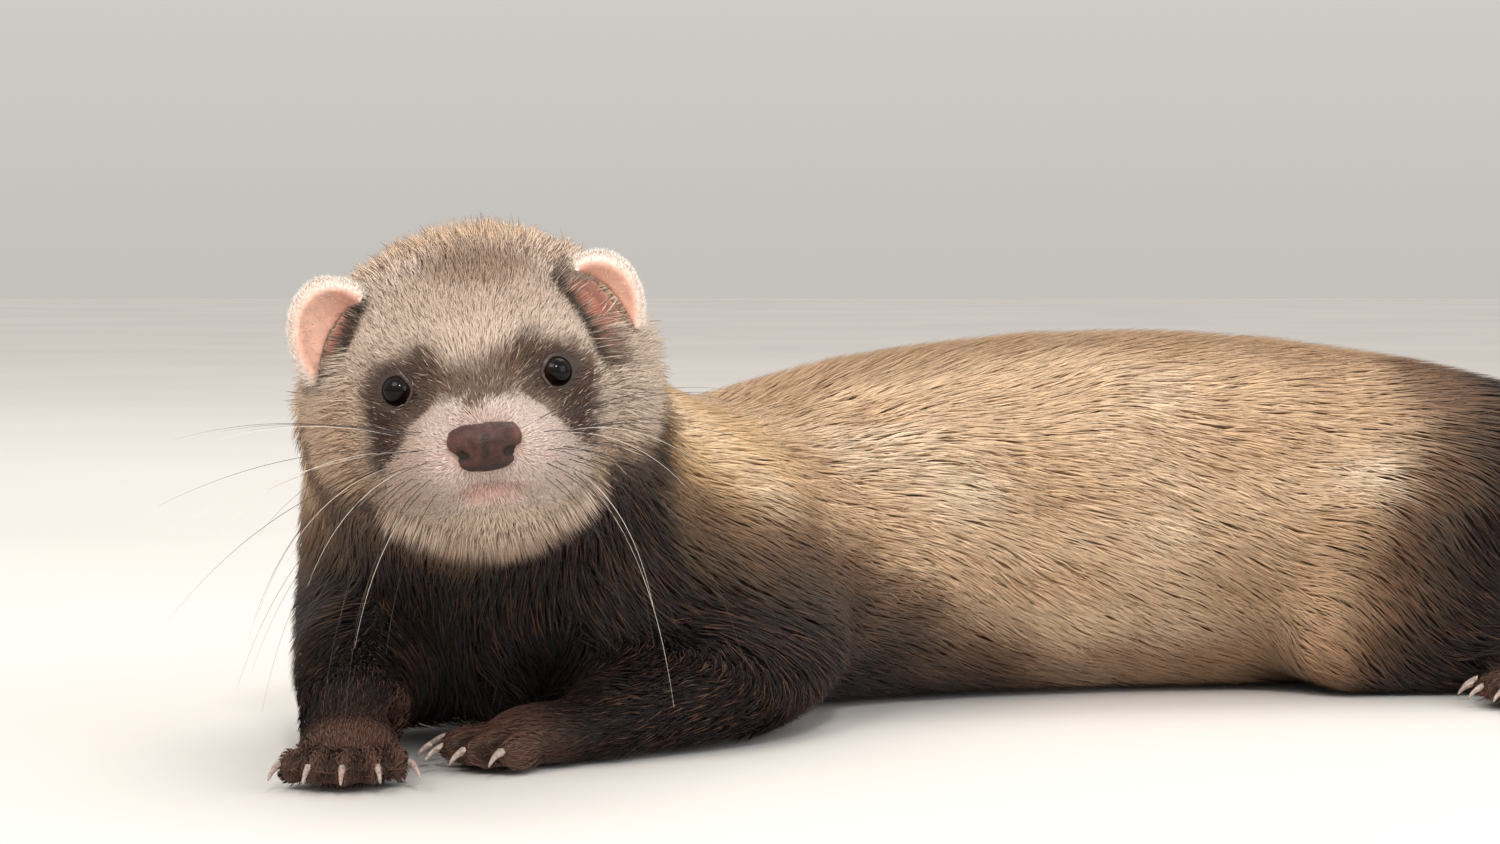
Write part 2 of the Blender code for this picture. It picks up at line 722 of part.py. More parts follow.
def finish_of(name):
    """The material of a piece, named for the kind of piece it is."""
    kind = next(k for k in sorted(COLOURS, key=len, reverse=True) if name.startswith(k))
    material = bpy.data.materials.get(kind) or bpy.data.materials.new(kind)
    material.use_nodes = True
    shader = material.node_tree.nodes["Principled BSDF"]
    rgb = [int(COLOURS[kind][k:k + 2], 16) / 255 for k in (0, 2, 4)]
    linear = [c / 12.92 if c < 0.04045 else ((c + 0.055) / 1.055) ** 2.4 for c in rgb]
    shader.inputs["Base Color"].default_value = (*linear, 1.0)
    shader.inputs["Roughness"].default_value = ROUGHNESS.get(kind, COAT_ROUGHNESS)
    return material


# How far round the paws, the face, the ears' roots and the eyes the surface is made finer
PAW_REACH = 24 * MM
FACE_REACH = 26 * MM
EAR_REACH = 15 * MM
EYE_REACH = 7 * MM
PAW_DETAIL = 16 * MM


def whole_animal():
    """The animal in one fine mesh, with the places where its claws grow."""
    forms = [Limb(TRUNK, steps=TRUNK_STEPS), Mass(*BREAST, blend=12 * MM)]
    forms += [*head_forms(), Limb(TAIL, steps=TAIL_STEPS)]
    tips = {}
    paw_spots = []
    for name, leg in FORELEGS.items():
        side = 1 if name == "left" else -1
        forms.append(Mass(*leg["shoulder"], blend=14 * MM))
        forms.append(Limb(leg["joints"], blend=7 * MM))
        paw, found = toes(leg["palm"], leg["heading"], side)
        forms += paw
        tips["fore_" + name] = found
        paw_spots.append(leg["palm"])
    for name, side in (("left", 1), ("right", -1)):
        turned = HIPS.to_3x3().to_4x4()
        forms.append(Mass(hip_point(THIGH[0], side), THIGH[1], turned, blend=14 * MM))
        forms.append(Limb([hip_point(j, side) for j in SHANK], blend=8 * MM))
        forms.append(Limb([hip_point(j, side) for j in FOOT], blend=4 * MM))
        heading = math.radians(11) + (HIND_HEADING if side > 0 else -HIND_HEADING)
        palm = hip_point(HIND_PALM, side)
        paw, found = toes(palm, heading, side)
        forms += paw
        tips["hind_" + name] = found
        paw_spots.append(palm)
    whole = clay("whole", [f for form in forms for f in form.frames()], VOXEL)
    forms += lips_and_lids()
    spots = [(p, PAW_REACH) for p in paw_spots]
    spots.append((FACE @ Vector((0, -6 * MM, -8 * MM)), FACE_REACH))
    spots += [(FACE @ Vector((side * 22 * MM, 22 * MM, 12 * MM)), EAR_REACH) for side in (-1, 1)]
    refine(whole, spots)
    refine(whole, [(eye_centre(side), EYE_REACH) for side in (-1, 1)])
    dents = head_dents() + mouth_groove(forms)
    reshape(whole, settle(positions(whole.data), forms, dents))
    press_on_floor(whole)
    fine_spots = [(place, PAW_DETAIL, PAW_WORTH) for place in paw_spots]
    mark_plain(whole, fine_spots + [(FACE.translation, FACE_REACH, 1.0)])
    thinned(whole, WHOLE_TRIANGLES)
    whole.vertex_groups.clear()
    return whole, tips


CUT_STEPS = 20
TRUNK_CUTS = [("chest", 1, 0.75), ("belly", 3, 0.55), ("rump", 6, 0.35)]
TAIL_CUTS = [("tail_root", 0, 0.62), ("tail_middle", 2, 0.0), ("tail_tip", 3, 0.5)]


def along_trunk(joint, share=0.0):
    """A point of the trunk's line, and the way it runs there, from head to tail."""
    line = smooth_line(np.array(TRUNK), CUT_STEPS)[:, :3]
    row = round((joint + share) * CUT_STEPS)
    way = line[min(row + 1, len(line) - 1)] - line[row - 1]
    return Vector(line[row]), Vector(way).normalized()


def build():
    for obj in list(bpy.data.objects):
        bpy.data.objects.remove(obj)
    whole, tips = whole_animal()
    pieces = {}

    for name, leg in FORELEGS.items():
        centre, radii, heading = leg["cutter"]
        cutter = Mass(centre, radii, Matrix.Rotation(heading, 4, "Z"))
        pieces["foreleg_" + name] = parted(whole, "foreleg_" + name, cutter)
        way = Vector((math.cos(leg["heading"]), math.sin(leg["heading"]), 0.0))
        wrist = Vector(leg["joints"][-1][:3]) + way * 2 * MM
        pieces["forepaw_" + name] = sliced(
            pieces["foreleg_" + name], "forepaw_" + name, wrist, way)
    turned = HIPS.to_3x3().to_4x4()
    for name, side in (("left", 1), ("right", -1)):
        leg_cutter = Mass(hip_point(HIND_LEG_CUTTER[0], side), HIND_LEG_CUTTER[1], turned)
        pieces["hindleg_" + name] = parted(whole, "hindleg_" + name, leg_cutter)
        paw_cutter = Mass(hip_point(HIND_PAW_CUTTER[0], side), HIND_PAW_CUTTER[1], turned)
        pieces["hindpaw_" + name] = parted(
            pieces["hindleg_" + name], "hindpaw_" + name, paw_cutter)

    throat = (FACE @ Matrix.Rotation(math.radians(-24), 4, "X")).to_3x3() @ Vector((0, 1, 0))
    nape = FACE @ Vector((0.0, 33 * MM, 4 * MM))
    pieces["neck"] = sliced(whole, "neck", nape, throat)
    pieces["head"] = whole
    whole.name = "head"
    before = pieces["neck"]
    for name, joint, share in TRUNK_CUTS:
        before = pieces[name] = sliced(before, name, *along_trunk(joint, share))
    tail_line = smooth_line(np.array(TAIL), CUT_STEPS)[:, :3]
    for name, joint, share in TAIL_CUTS:
        row = round((joint + share) * CUT_STEPS)
        way = Vector(tail_line[row + 1] - tail_line[row - 1]).normalized()
        before = pieces[name] = sliced(before, name, Vector(tail_line[row]), way)

    around = grown(pieces["head"], GAP)
    for side in (-1, 1):
        name = "eye_left" if side > 0 else "eye_right"
        facing = FACE @ Matrix.Rotation(math.pi / 2, 4, "X")
        eye = Mass(eye_centre(side), [EYE_RADIUS] * 3, facing)
        socket = ball_object("socket", eye, GAP, EYE_BALL)
        boolean(pieces["head"], socket, "DIFFERENCE")
        discard(socket)
        obj = ball_object(name, eye, 0.0, EYE_BALL)
        pieces[name] = obj
        made = ear(side)
        pieces[made.name] = largest(boolean(made, around, "DIFFERENCE"))
    pieces["nose"] = largest(boolean(nose(), around, "DIFFERENCE"))
    discard(around)

    for paw, found in tips.items():
        around = grown(pieces[paw.replace("_", "paw_")], GAP)
        for number, (tip, way) in enumerate(found, 1):
            name = f"claw_{paw}_{number}"
            pieces[name] = largest(
                boolean(claw(name, tip, way), around, "DIFFERENCE", solver="EXACT"))
        discard(around)

    ferret = bpy.data.collections.new("ferret")
    bpy.context.scene.collection.children.link(ferret)
    corners = np.vstack([positions(obj.data) for obj in pieces.values()])
    middle = (corners.min(0) + corners.max(0)) / 2
    for name, obj in pieces.items():
        obj.data.transform(Matrix.Translation((-middle[0], -middle[1], 0.0)))
        for owner in list(obj.users_collection):
            owner.objects.unlink(obj)
        ferret.objects.link(obj)
        obj.data.materials.clear()
        obj.data.materials.append(finish_of(name))
        obj.data.shade_smooth()


build()
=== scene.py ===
"""How a life-size ferret looks: skin, coat, whiskers, eyes, ears, nose and claws, for Blender 4.5.

Metres, +Z up. The face looks along -Y and the animal's own left is the +X side. Places on the
face are millimetres across, back and up from between the eyes. Places on the body follow the
lines of the trunk, tail and legs, which are given from the floor point under the face.
"""

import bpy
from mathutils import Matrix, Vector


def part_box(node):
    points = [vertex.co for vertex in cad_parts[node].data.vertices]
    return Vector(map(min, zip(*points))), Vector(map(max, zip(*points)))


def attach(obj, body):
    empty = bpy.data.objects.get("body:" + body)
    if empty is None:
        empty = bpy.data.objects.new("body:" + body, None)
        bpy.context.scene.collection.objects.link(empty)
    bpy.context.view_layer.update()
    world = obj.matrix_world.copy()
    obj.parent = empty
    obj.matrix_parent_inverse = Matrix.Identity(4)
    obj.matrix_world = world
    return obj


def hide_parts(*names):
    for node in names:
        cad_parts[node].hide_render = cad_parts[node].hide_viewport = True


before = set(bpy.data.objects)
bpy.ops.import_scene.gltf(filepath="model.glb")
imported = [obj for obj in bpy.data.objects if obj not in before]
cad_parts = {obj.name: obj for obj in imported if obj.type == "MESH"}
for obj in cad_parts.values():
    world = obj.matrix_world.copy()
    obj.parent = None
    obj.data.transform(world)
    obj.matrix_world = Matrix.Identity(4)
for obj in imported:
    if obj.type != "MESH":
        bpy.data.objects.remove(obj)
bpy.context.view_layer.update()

import copy
import math

import bmesh
import bpy
import numpy as np
from mathutils import Matrix, Vector
from mathutils.bvhtree import BVHTree

MM = 0.001
SEED = 20
BODY = "root"

# How the head is held, as in the solids
HEAD_YAW = math.radians(4.4)
HEAD_LIFT = math.radians(2.0)
HEAD_LEAN = math.radians(6.8)
EYE_BACK = 3.0 * MM  # from the middle of the face back to the eyes
EYE_HEIGHT = 72.6 * MM

# The skin
SKIN_GROW = 0.22 * MM  # closes the thin cuts between the solids
SKIN_VOXEL = 1.7 * MM
THICKEST_COAT = 0.27  # of the body's own thickness

FLESH = [
    "head", "neck", "chest", "belly", "rump", "tail_root", "tail_middle", "tail_tip",
    "foreleg_left", "foreleg_right", "forepaw_left", "forepaw_right",
    "hindleg_left", "hindleg_right", "hindpaw_left", "hindpaw_right",
]

# Coat by part of the body: depth over the skin, length and width of a tuft (mm), tufts per mm2
COATS = {
    "head": (2.8, 9.0, 0.27, 2.1),
    "neck": (4.0, 12.5, 0.44, 1.25),
    "chest": (4.2, 14.0, 0.45, 1.15),
    "belly": (4.4, 15.5, 0.45, 1.22),
    "rump": (4.6, 16.0, 0.49, 1.0),
    "tail_root": (5.2, 20.0, 0.50, 1.05),
    "tail_middle": (5.6, 21.0, 0.50, 1.15),
    "tail_tip": (4.6, 16.0, 0.46, 1.5),
    "foreleg": (2.2, 7.5, 0.32, 1.35),
    "forepaw": (1.0, 4.2, 0.22, 2.5),
    "hindleg": (3.4, 11.0, 0.38, 1.05),
    "hindpaw": (1.0, 4.2, 0.24, 2.1),
}

# Middle lines, from the floor point under the face: x, y, z
TRUNK = [(0.000, 0.030, 0.0690), (-0.0025, 0.052, 0.0570), (0.0070, 0.080, 0.0400),
         (0.0360, 0.113, 0.0320), (0.0734, 0.139, 0.0355), (0.1134, 0.154, 0.0377),
         (0.1534, 0.161, 0.0377), (0.1934, 0.167, 0.0350), (0.2204, 0.172, 0.0310),
         (0.2500, 0.180, 0.0235), (0.2800, 0.1880, 0.0165), (0.3200, 0.2000, 0.0160),
         (0.3540, 0.2150, 0.0140), (0.3780, 0.2340, 0.0115), (0.3920, 0.2520, 0.0080),
         (0.4000, 0.2680, 0.0045)]
FORELEGS = {
    "left": [(0.0600, 0.0900, 0.0300), (0.0540, 0.0800, 0.0165), (0.0420, 0.0560, 0.0110),
             (0.0225, 0.0375, 0.0075), (0.0100, 0.0290, 0.0055), (-0.006, 0.0190, 0.0040)],
    "right": [(-0.0240, 0.0850, 0.0360), (-0.0270, 0.0700, 0.0190), (-0.0265, 0.0450, 0.0140),
              (-0.0245, 0.0240, 0.0100), (-0.0240, 0.0110, 0.0062), (-0.0235, -0.006, 0.0040)],
}
HIPS = Matrix.Translation((0.2070, 0.1695, 0.0)) @ Matrix.Rotation(math.radians(11), 4, "Z")
HINDLEGS = [(-0.0300, 0.0300, 0.0480), (-0.0360, 0.0300, 0.0150), (0.0000, 0.0320, 0.0135),
            (0.0340, 0.0320, 0.0130), (0.0390, 0.0370, 0.0100), (0.0240, 0.0470, 0.0078),
            (0.0090, 0.0530, 0.0062), (-0.0120, 0.0600, 0.0040)]


def tint(code, alpha=1.0):
    """A colour given as sRGB hex, turned linear."""
    parts = [int(code[i:i + 2], 16) / 255 for i in (0, 2, 4)]
    return (*(c / 12.92 if c <= 0.04045 else ((c + 0.055) / 1.055) ** 2.4 for c in parts), alpha)


def shade(code):
    return np.array(tint(code)[:3])


def plain(code, like):
    """One colour, a row for each place."""
    return np.tile(shade(code), (len(like), 1))


def painted(colour, *layers):
    """The colours with each layer over them: its colour, where it lies and how strongly."""
    for code, where, share in layers:
        colour = colour + (shade(code) - colour) * (share * where)[:, None]
    return colour


def box_middle(node):
    low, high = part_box(node)
    return (low + high) / 2


FACE_TURN = (
    Matrix.Rotation(HEAD_YAW, 4, "Z")
    @ Matrix.Rotation(-HEAD_LIFT, 4, "X")
    @ Matrix.Rotation(-HEAD_LEAN, 4, "Y")
)
BETWEEN_EYES = (box_middle("eye_left") + box_middle("eye_right")) / 2
FACE = Matrix.Translation(BETWEEN_EYES) @ FACE_TURN @ Matrix.Translation((0, -EYE_BACK, 0))
GROUND = FACE.translation - Vector((0, 0, EYE_HEIGHT))
FACE_INVERSE = np.array(FACE.inverted())
TURN = FACE_TURN.to_3x3()
ACROSS, BACK, UP = np.array(TURN).T
SIDES = {-1: "right", 1: "left"}


def on_face(points):
    """Places in millimetres across, back and up from the middle of the face."""
    return (points @ FACE_INVERSE[:3, :3].T + FACE_INVERSE[:3, 3]) / MM


def face_place(x, y, z):
    return FACE @ Vector((x * MM, y * MM, z * MM))


class Line:
    """A line through the body: how far along it a place lies, and which way it runs there."""

    def __init__(self, points):
        self.points = np.array(points, float) + np.array(GROUND)
        step = np.diff(self.points, axis=0)
        self.lengths = np.linalg.norm(step, axis=1)
        self.ways = step / self.lengths[:, None]
        self.starts = np.concatenate([[0.0], np.cumsum(self.lengths)[:-1]])

    def nearest(self, places):
        """Distance along the line in mm, the way it runs and the distance from it in mm."""
        best = np.full(len(places), np.inf)
        along = np.zeros(len(places))
        way = np.zeros((len(places), 3))
        for number, start in enumerate(self.points[:-1]):
            offset = places - start
            t = np.clip(offset @ self.ways[number], 0.0, self.lengths[number])
            far = np.linalg.norm(offset - t[:, None] * self.ways[number], axis=1)
            closer = far < best
            best[closer] = far[closer]
            along[closer] = self.starts[number] + t[closer]
            share = t[closer] / self.lengths[number]
            ahead = self.ways[min(number + 1, len(self.ways) - 1)]
            before = self.ways[max(number - 1, 0)]
            here = self.ways[number]
            late = np.clip(share - 0.5, 0, 1)[:, None]
            early = np.clip(0.5 - share, 0, 1)[:, None]
            way[closer] = here * (1 - late - early) + ahead * late + before * early
        return along / MM, unit(way), best / MM


def unit(vectors):
    return vectors / np.maximum(np.linalg.norm(vectors, axis=1), 1e-12)[:, None]


def flattened(vectors, normals):
    """The vectors laid into the surface and made one long."""
    return unit(vectors - (vectors * normals).sum(1)[:, None] * normals)


def ramp(value, low, high):
    """0 below low, 1 above high and smooth between them."""
    t = np.clip((value - low) / (high - low), 0.0, 1.0)
    return t * t * (3 - 2 * t)


def spot(value, *terms):
    """1 in the middle of an oval and 0 outside it: pairs of a middle and a half size."""
    total = 0.0
    for column, (middle, half) in enumerate(terms):
        total = total + ((value[:, column] - middle) / half) ** 2
    return ramp(-np.sqrt(total), -1.3, -0.6)


def oval(face, across, back, up):
    """0 in the middle of an oval and 1 on its edge: a middle and a half size each way."""
    x, y, z = ((face[:, i] - middle) / half for i, (middle, half) in enumerate((across, back, up)))
    return np.hypot(np.hypot(x, z), y)


def noise(points, size, seed=0):
    """Smooth noise from -1 to 1 whose lumps are about as large as size, in metres."""
    grid = points / size + 1000.0 + 37.7 * seed
    cell = np.floor(grid).astype(np.int64)
    part = grid - cell
    part = part * part * (3 - 2 * part)
    total = np.zeros(len(points))
    for corner in range(8):
        step = np.array([corner & 1, corner >> 1 & 1, corner >> 2 & 1])
        at = cell + step
        key = (at[:, 0] * 73856093) ^ (at[:, 1] * 19349663) ^ (at[:, 2] * 83492791)
        value = ((key * 2654435761) % 65521) / 32760.5 - 1.0
        total += value * np.where(step, part, 1 - part).prod(1)
    return total


def linked(name, data):
    obj = bpy.data.objects.new(name, data)
    bpy.context.scene.collection.objects.link(obj)
    return obj


def copy_of(name, nodes, grow=0.0):
    """The solids' own surfaces, with loose corners merged, as one new object."""
    shell = bmesh.new()
    for node in nodes:
        shell.from_mesh(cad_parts[node].data)
    bmesh.ops.remove_doubles(shell, verts=shell.verts, dist=0.005 * MM)
    shell.normal_update()
    if grow:
        for vert in shell.verts:
            vert.co += vert.normal * grow
    mesh = bpy.data.meshes.new(name)
    shell.to_mesh(mesh)
    shell.free()
    return linked(name, mesh)


def applied(obj):
    """The object with its modifiers made real."""
    bpy.context.view_layer.update()
    finished = obj.evaluated_get(bpy.context.evaluated_depsgraph_get())
    mesh = bpy.data.meshes.new_from_object(finished)
    old = obj.data
    obj.modifiers.clear()
    obj.data = mesh
    bpy.data.meshes.remove(old)
    return obj


def remeshed(obj, voxel):
    fuse = obj.modifiers.new("Fuse", "REMESH")
    fuse.mode = "VOXEL"
    fuse.voxel_size = voxel
    return applied(obj)


def read_all(items, key, columns, kind=np.float32):
    """One value of every item of a mesh, a row for each."""
    flat = np.empty(len(items) * columns, kind)
    items.foreach_get(key, flat)
    return flat.reshape(-1, columns)


def positions(mesh):
    return read_all(mesh.vertices, "co", 3).astype(float)


def moved(mesh, points):
    mesh.vertices.foreach_set("co", points.astype(np.float32).ravel())
    mesh.update()


def normals_of(mesh):
    return read_all(mesh.vertices, "normal", 3).astype(float)


def smooth_shaded(mesh):
    mesh.polygons.foreach_set("use_smooth", np.ones(len(mesh.polygons), bool))
    mesh.update()


class Neighbours:
    """Averages of a value over the corners that share an edge."""

    def __init__(self, mesh):
        edges = read_all(mesh.edges, "vertices", 2, np.int32)
        self.count = len(mesh.vertices)
        self.start = np.concatenate([edges[:, 0], edges[:, 1]])
        self.end = np.concatenate([edges[:, 1], edges[:, 0]])
        self.number = np.maximum(np.bincount(self.start, minlength=self.count), 1)

    def mean(self, values):
        flat = values.reshape(self.count, -1)
        columns = [
            np.bincount(self.start, weights=flat[self.end, c], minlength=self.count) / self.number
            for c in range(flat.shape[1])
        ]
        return np.column_stack(columns).reshape(values.shape)

    def smoothed(self, values, rounds, share=0.7):
        for _ in range(rounds):
            values = values * (1 - share) + self.mean(values) * share
        return values


def set_values(mesh, name, kind, values):
    layer = mesh.attributes.new(name, kind, "POINT")
    key = "color" if kind == "FLOAT_COLOR" else "value"
    layer.data.foreach_set(key, values.astype(np.float32).ravel())


def with_alpha(colours):
    return np.column_stack([colours, np.ones(len(colours))])


# Where the skin is cut finer, in mm on the face: how far across and back, lowest and highest
FINER_FACE = ((30, 16, -34, 16), (22, 8, -27, 9))


def skin_shape():
    """One closed surface over all the flesh, finer on the face and the paws."""
    obj = copy_of("skin", FLESH + ["eye_left", "eye_right"], SKIN_GROW)
    remeshed(obj, SKIN_VOXEL)
    shell = bmesh.new()
    shell.from_mesh(obj.data)
    for number, (across, back, low, high) in enumerate(FINER_FACE):
        places = np.array([v.co[:] for v in shell.verts])
        face = on_face(places)
        inside = (np.abs(face[:, 0]) < across) & (face[:, 1] < back)
        inside &= (face[:, 2] > low) & (face[:, 2] < high)
        if number == 0:
            inside |= on_paws(places, 0.5 * MM)
        shell.verts.ensure_lookup_table()
        edges = [e for e in shell.edges if inside[e.verts[0].index] and inside[e.verts[1].index]]
        bmesh.ops.subdivide_edges(shell, edges=edges, cuts=1, use_grid_fill=True, smooth=0.0)
        shell.verts.index_update()
    shell.to_mesh(obj.data)
    shell.free()
    return obj


def on_paws(places, more):
    """Which places lie in the boxes of the paws."""
    inside = np.zeros(len(places), bool)
    for node in FLESH:
        if "paw" in node:
            low, high = (np.array(corner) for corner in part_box(node))
            inside |= ((places > low - more) & (places < high + more)).all(1)
    return inside


def drawn_to(points, strength, nodes):
    """Moves the points onto the nodes' own surface, by the strength given for each."""
    target = copy_of("target", nodes)
    tree = BVHTree.FromObject(target, bpy.context.evaluated_depsgraph_get())
    for number in np.nonzero(strength > 0)[0]:
        place, _, _, far = tree.find_nearest(Vector(points[number]))
        if far < 1.2 * MM:
            points[number] += (np.array(place) - points[number]) * strength[number]
    bpy.data.objects.remove(target)


def outline_of(obj):
    """Draws the finer face and paws onto the solids' own surface, lids, lips and toes included."""
    mesh = obj.data
    points = positions(mesh)
    face = on_face(points)
    front = ramp(-face[:, 1], -14, -4) * ramp(-np.abs(face[:, 0]), -28, -22)
    front *= ramp(face[:, 2], -34, -26) * ramp(-face[:, 2], -14, -8)
    drawn_to(points, front, ["head", "eye_left", "eye_right"])
    near_paws = Neighbours(mesh).smoothed(on_paws(points, -1.2 * MM).astype(float), 2)
    legs = [n for n in FLESH if "leg" in n or "paw" in n]
    drawn_to(points, ramp(near_paws, 0.2, 0.9), legs)
    moved(mesh, points)


def part_at(points):
    """The number of the flesh node that each place belongs to."""
    verts, faces, owners = [], [], []
    for number, node in enumerate(FLESH):
        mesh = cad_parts[node].data
        base = len(verts)
        verts += [v.co.copy() for v in mesh.vertices]
        for face in mesh.polygons:
            faces.append([base + v for v in face.vertices])
            owners.append(number)
    tree = BVHTree.FromPolygons(verts, faces)
    return np.array([owners[tree.find_nearest(Vector(p))[2]] for p in points])


def lie_of(points, parts):
    """Which way the hair lies: back from the nose, along the body and down each limb."""
    trunk = Line(TRUNK)
    along, way, _ = trunk.nearest(points)
    face = on_face(points)
    lie = way + np.array([0.0, 0.0, -0.30]) * ramp(-along, -330, -260)[:, None]
    from_nose = points - np.array(face_place(0, -30, -10))
    back = ramp(face[:, 1], 18, 44)[:, None]
    head = unit(from_nose) * (1 - back) + way * back
    for side in SIDES:
        eye = np.array(face_place(side * 13.8, -2, 0))
        offset = points - eye
        far = np.linalg.norm(offset, axis=1) / MM
        head += unit(offset) * (0.9 * np.exp(-(far / 6.5) ** 2))[:, None]
    names = np.array(FLESH)[parts]
    lie[names == "head"] = head[names == "head"]
    for side in ("left", "right"):
        limb = Line(FORELEGS[side])
        mine = (names == "foreleg_" + side) | (names == "forepaw_" + side)
        upper = ramp(points[mine, 2], 0.015, 0.034)[:, None]
        arm = np.array([0.30 if side == "left" else 0.05, 0.35, -1.0])
        lie[mine] = limb.nearest(points[mine])[1] * (1 - upper) + arm * upper
        out = -1 if side == "left" else 1
        joints = [HIPS @ Vector((a, out * b, c)) for a, b, c in HINDLEGS]
        limb = Line(joints)
        mine = names == "hindpaw_" + side
        lie[mine] = limb.nearest(points[mine])[1]
        mine = names == "hindleg_" + side
        thigh = ramp(points[mine, 2], 0.012, 0.03)[:, None]
        down = way[mine] * 0.75 + np.array([0, 0, -0.75])
        lie[mine] = limb.nearest(points[mine])[1] * (1 - thigh) + down * thigh
    return lie


def depth_limits(mesh, points, normals):
    """How thick the body is under each place."""
    faces = [p.vertices[:] for p in mesh.polygons]
    tree = BVHTree.FromPolygons([Vector(p) for p in points], faces)
    found = np.empty(len(points))
    for number, (place, normal) in enumerate(zip(points, normals)):
        ray = Vector(-normal)
        hit = tree.ray_cast(Vector(place) + ray * 0.4 * MM, ray, 0.1)[3]
        found[number] = hit if hit is not None else 0.1
    return found


# Where the fur of the head ends and each ear's cup begins, in mm across and up the face
EAR_LINES = {1: ((17.6, 18.6), (22.2, 9.6), (24.6, 2.2)),
             -1: ((-20.6, 19.2), (-23.6, 13.2), (-28.4, 4.0))}


def beside(face, side):
    """How far outwards of the ear's line each place lies, and how far down the line."""
    line = EAR_LINES[side]
    outwards = np.zeros(len(face))
    best = np.full(len(face), np.inf)
    down = np.zeros(len(face))
    for number, (start, end) in enumerate(zip(line[:-1], line[1:])):
        start, end = np.array(start), np.array(end)
        run = end - start
        offset = face[:, [0, 2]] - start
        share = np.clip(offset @ run / (run @ run), 0, 1)
        far = np.linalg.norm(offset - share[:, None] * run, axis=1)
        closer = far < best
        best[closer] = far[closer]
        turned = np.sign((run[0] * offset[:, 1] - run[1] * offset[:, 0]) * side)
        outwards[closer] = (turned * far)[closer]
        down[closer] = (number + share[closer]) / (len(line) - 1)
    return outwards, down


def cup_wall(face):
    """The bare inner wall of each ear's cup, where it runs into the side of the head."""
    found = np.zeros(len(face))
    for side in EAR_LINES:
        outwards, down = beside(face, side)
        limit = np.interp(down, [0, 0.15, 0.3, 0.85, 0.98, 1], [1.5, 6.0, 9.5, 8.5, 5.0, 0.0])
        wall = ramp(outwards, 0.2, 1.1) * ramp(limit - outwards, -0.8, 0.8)
        found = np.maximum(found, wall * ramp(-face[:, 1], -37, -31))
    return found


DEPTH, LENGTH, WIDTH, NUMBER, RISE = range(5)  # the columns of the coat's values
# The first four again, on the front of the face, the muzzle and the chin
FRONT_COAT = (1.1, 3.9, 0.165, 9.0)
MUZZLE_COAT = (0.55, 2.2, 0.15, 12.0)
CHIN_COAT = (1.8, 7.0, 0.19, 5.5)
EYE_COAT_DEPTH = 0.40  # beside the eyes
EYE_COAT_LENGTH = 2.1
EAR_COAT_LENGTH = 3.2
TAIL_END = 3.0  # how far the hair reaches past the tail's middle line
SHORTEST = 3.0  # hair at the very end of the tail


def coat_values(points, parts):
    """Depth, length, width, number and rise of the tufts at each place of the outline."""
    rows = []
    for node in FLESH:
        kind = node if node in COATS else node.rsplit("_", 1)[0]
        rows.append(COATS[kind])
    values = np.column_stack([np.array(rows)[parts].astype(float), np.ones(len(points))])
    face = on_face(points)
    head = parts == FLESH.index("head")
    side = np.abs(face[:, 0])
    height = face[:, 2]
    ruff = head * ramp(side, 19, 25) * ramp(face[:, 1], 2, 12) * ramp(height, -26, -14)
    crown = head * ramp(height, 17, 24)
    beard = head * ramp(-height, 22.5, 26.5) * ramp(-face[:, 1], -18, -8)
    neck = parts == FLESH.index("neck")
    values[:, RISE] += 0.85 * ruff + 0.60 * crown + 0.95 * beard + 0.25 * neck
    front = head * (1 - ramp(face[:, 1], 2, 24)) * (1 - 0.5 * ramp(side, 18, 30))
    muzzle = head * (1 - ramp(face[:, 1], -8, 4)) * ramp(-face[:, 2], 1, 7)
    muzzle *= 1 - ramp(-height, 18, 24)
    chin = head * ramp(-face[:, 2], 20, 27) * (1 - ramp(face[:, 1], 8, 22))
    for coat, where in ((FRONT_COAT, front), (MUZZLE_COAT, muzzle), (CHIN_COAT, chin)):
        values[:, :RISE] += (np.array(coat) - values[:, :RISE]) * where[:, None]
    for ear in EAR_LINES:
        close = ramp(-np.abs(beside(face, ear)[0]), -5.0, -2.2)
        close *= ramp(-face[:, 1], -27, -21) * head
        values[:, RISE] *= 1 - 0.82 * close
        values[:, DEPTH] += 0.5 * close
        values[:, LENGTH] += (EAR_COAT_LENGTH - values[:, LENGTH]) * close
    values[:, DEPTH] += 0.5 * cup_wall(face) * head
    for eye in SIDES:
        far = np.linalg.norm(face - np.array([eye * 14.2, 0.5, 0.0]), axis=1)
        near = head * (1 - ramp(far, 3.6, 8.5))
        values[:, LENGTH] += (EYE_COAT_LENGTH - values[:, LENGTH]) * near
        values[:, DEPTH] += (EYE_COAT_DEPTH - values[:, DEPTH]) * near
    end = Line(TRUNK)
    left = end.starts[-1] / MM + end.lengths[-1] / MM + TAIL_END - end.nearest(points)[0]
    values[:, LENGTH] = np.minimum(values[:, LENGTH], np.maximum(left, SHORTEST))
    return values


CREAM = "E3C5A2"
WARM = "EDCA98"
BROWN = "855B41"
SABLE = "24140E"
SABLE_TIP = "5B3D2D"

# How high the dark of the chest reaches: mm along the trunk, mm over the floor
FRONT_BORDER = ((0, 40), (45, 40), (75, 37), (104, 34), (110, 30), (132, 23), (152, 14), (175, 6),
                (184, -3), (205, -16))
OWN_LEFT_BORDER = 63
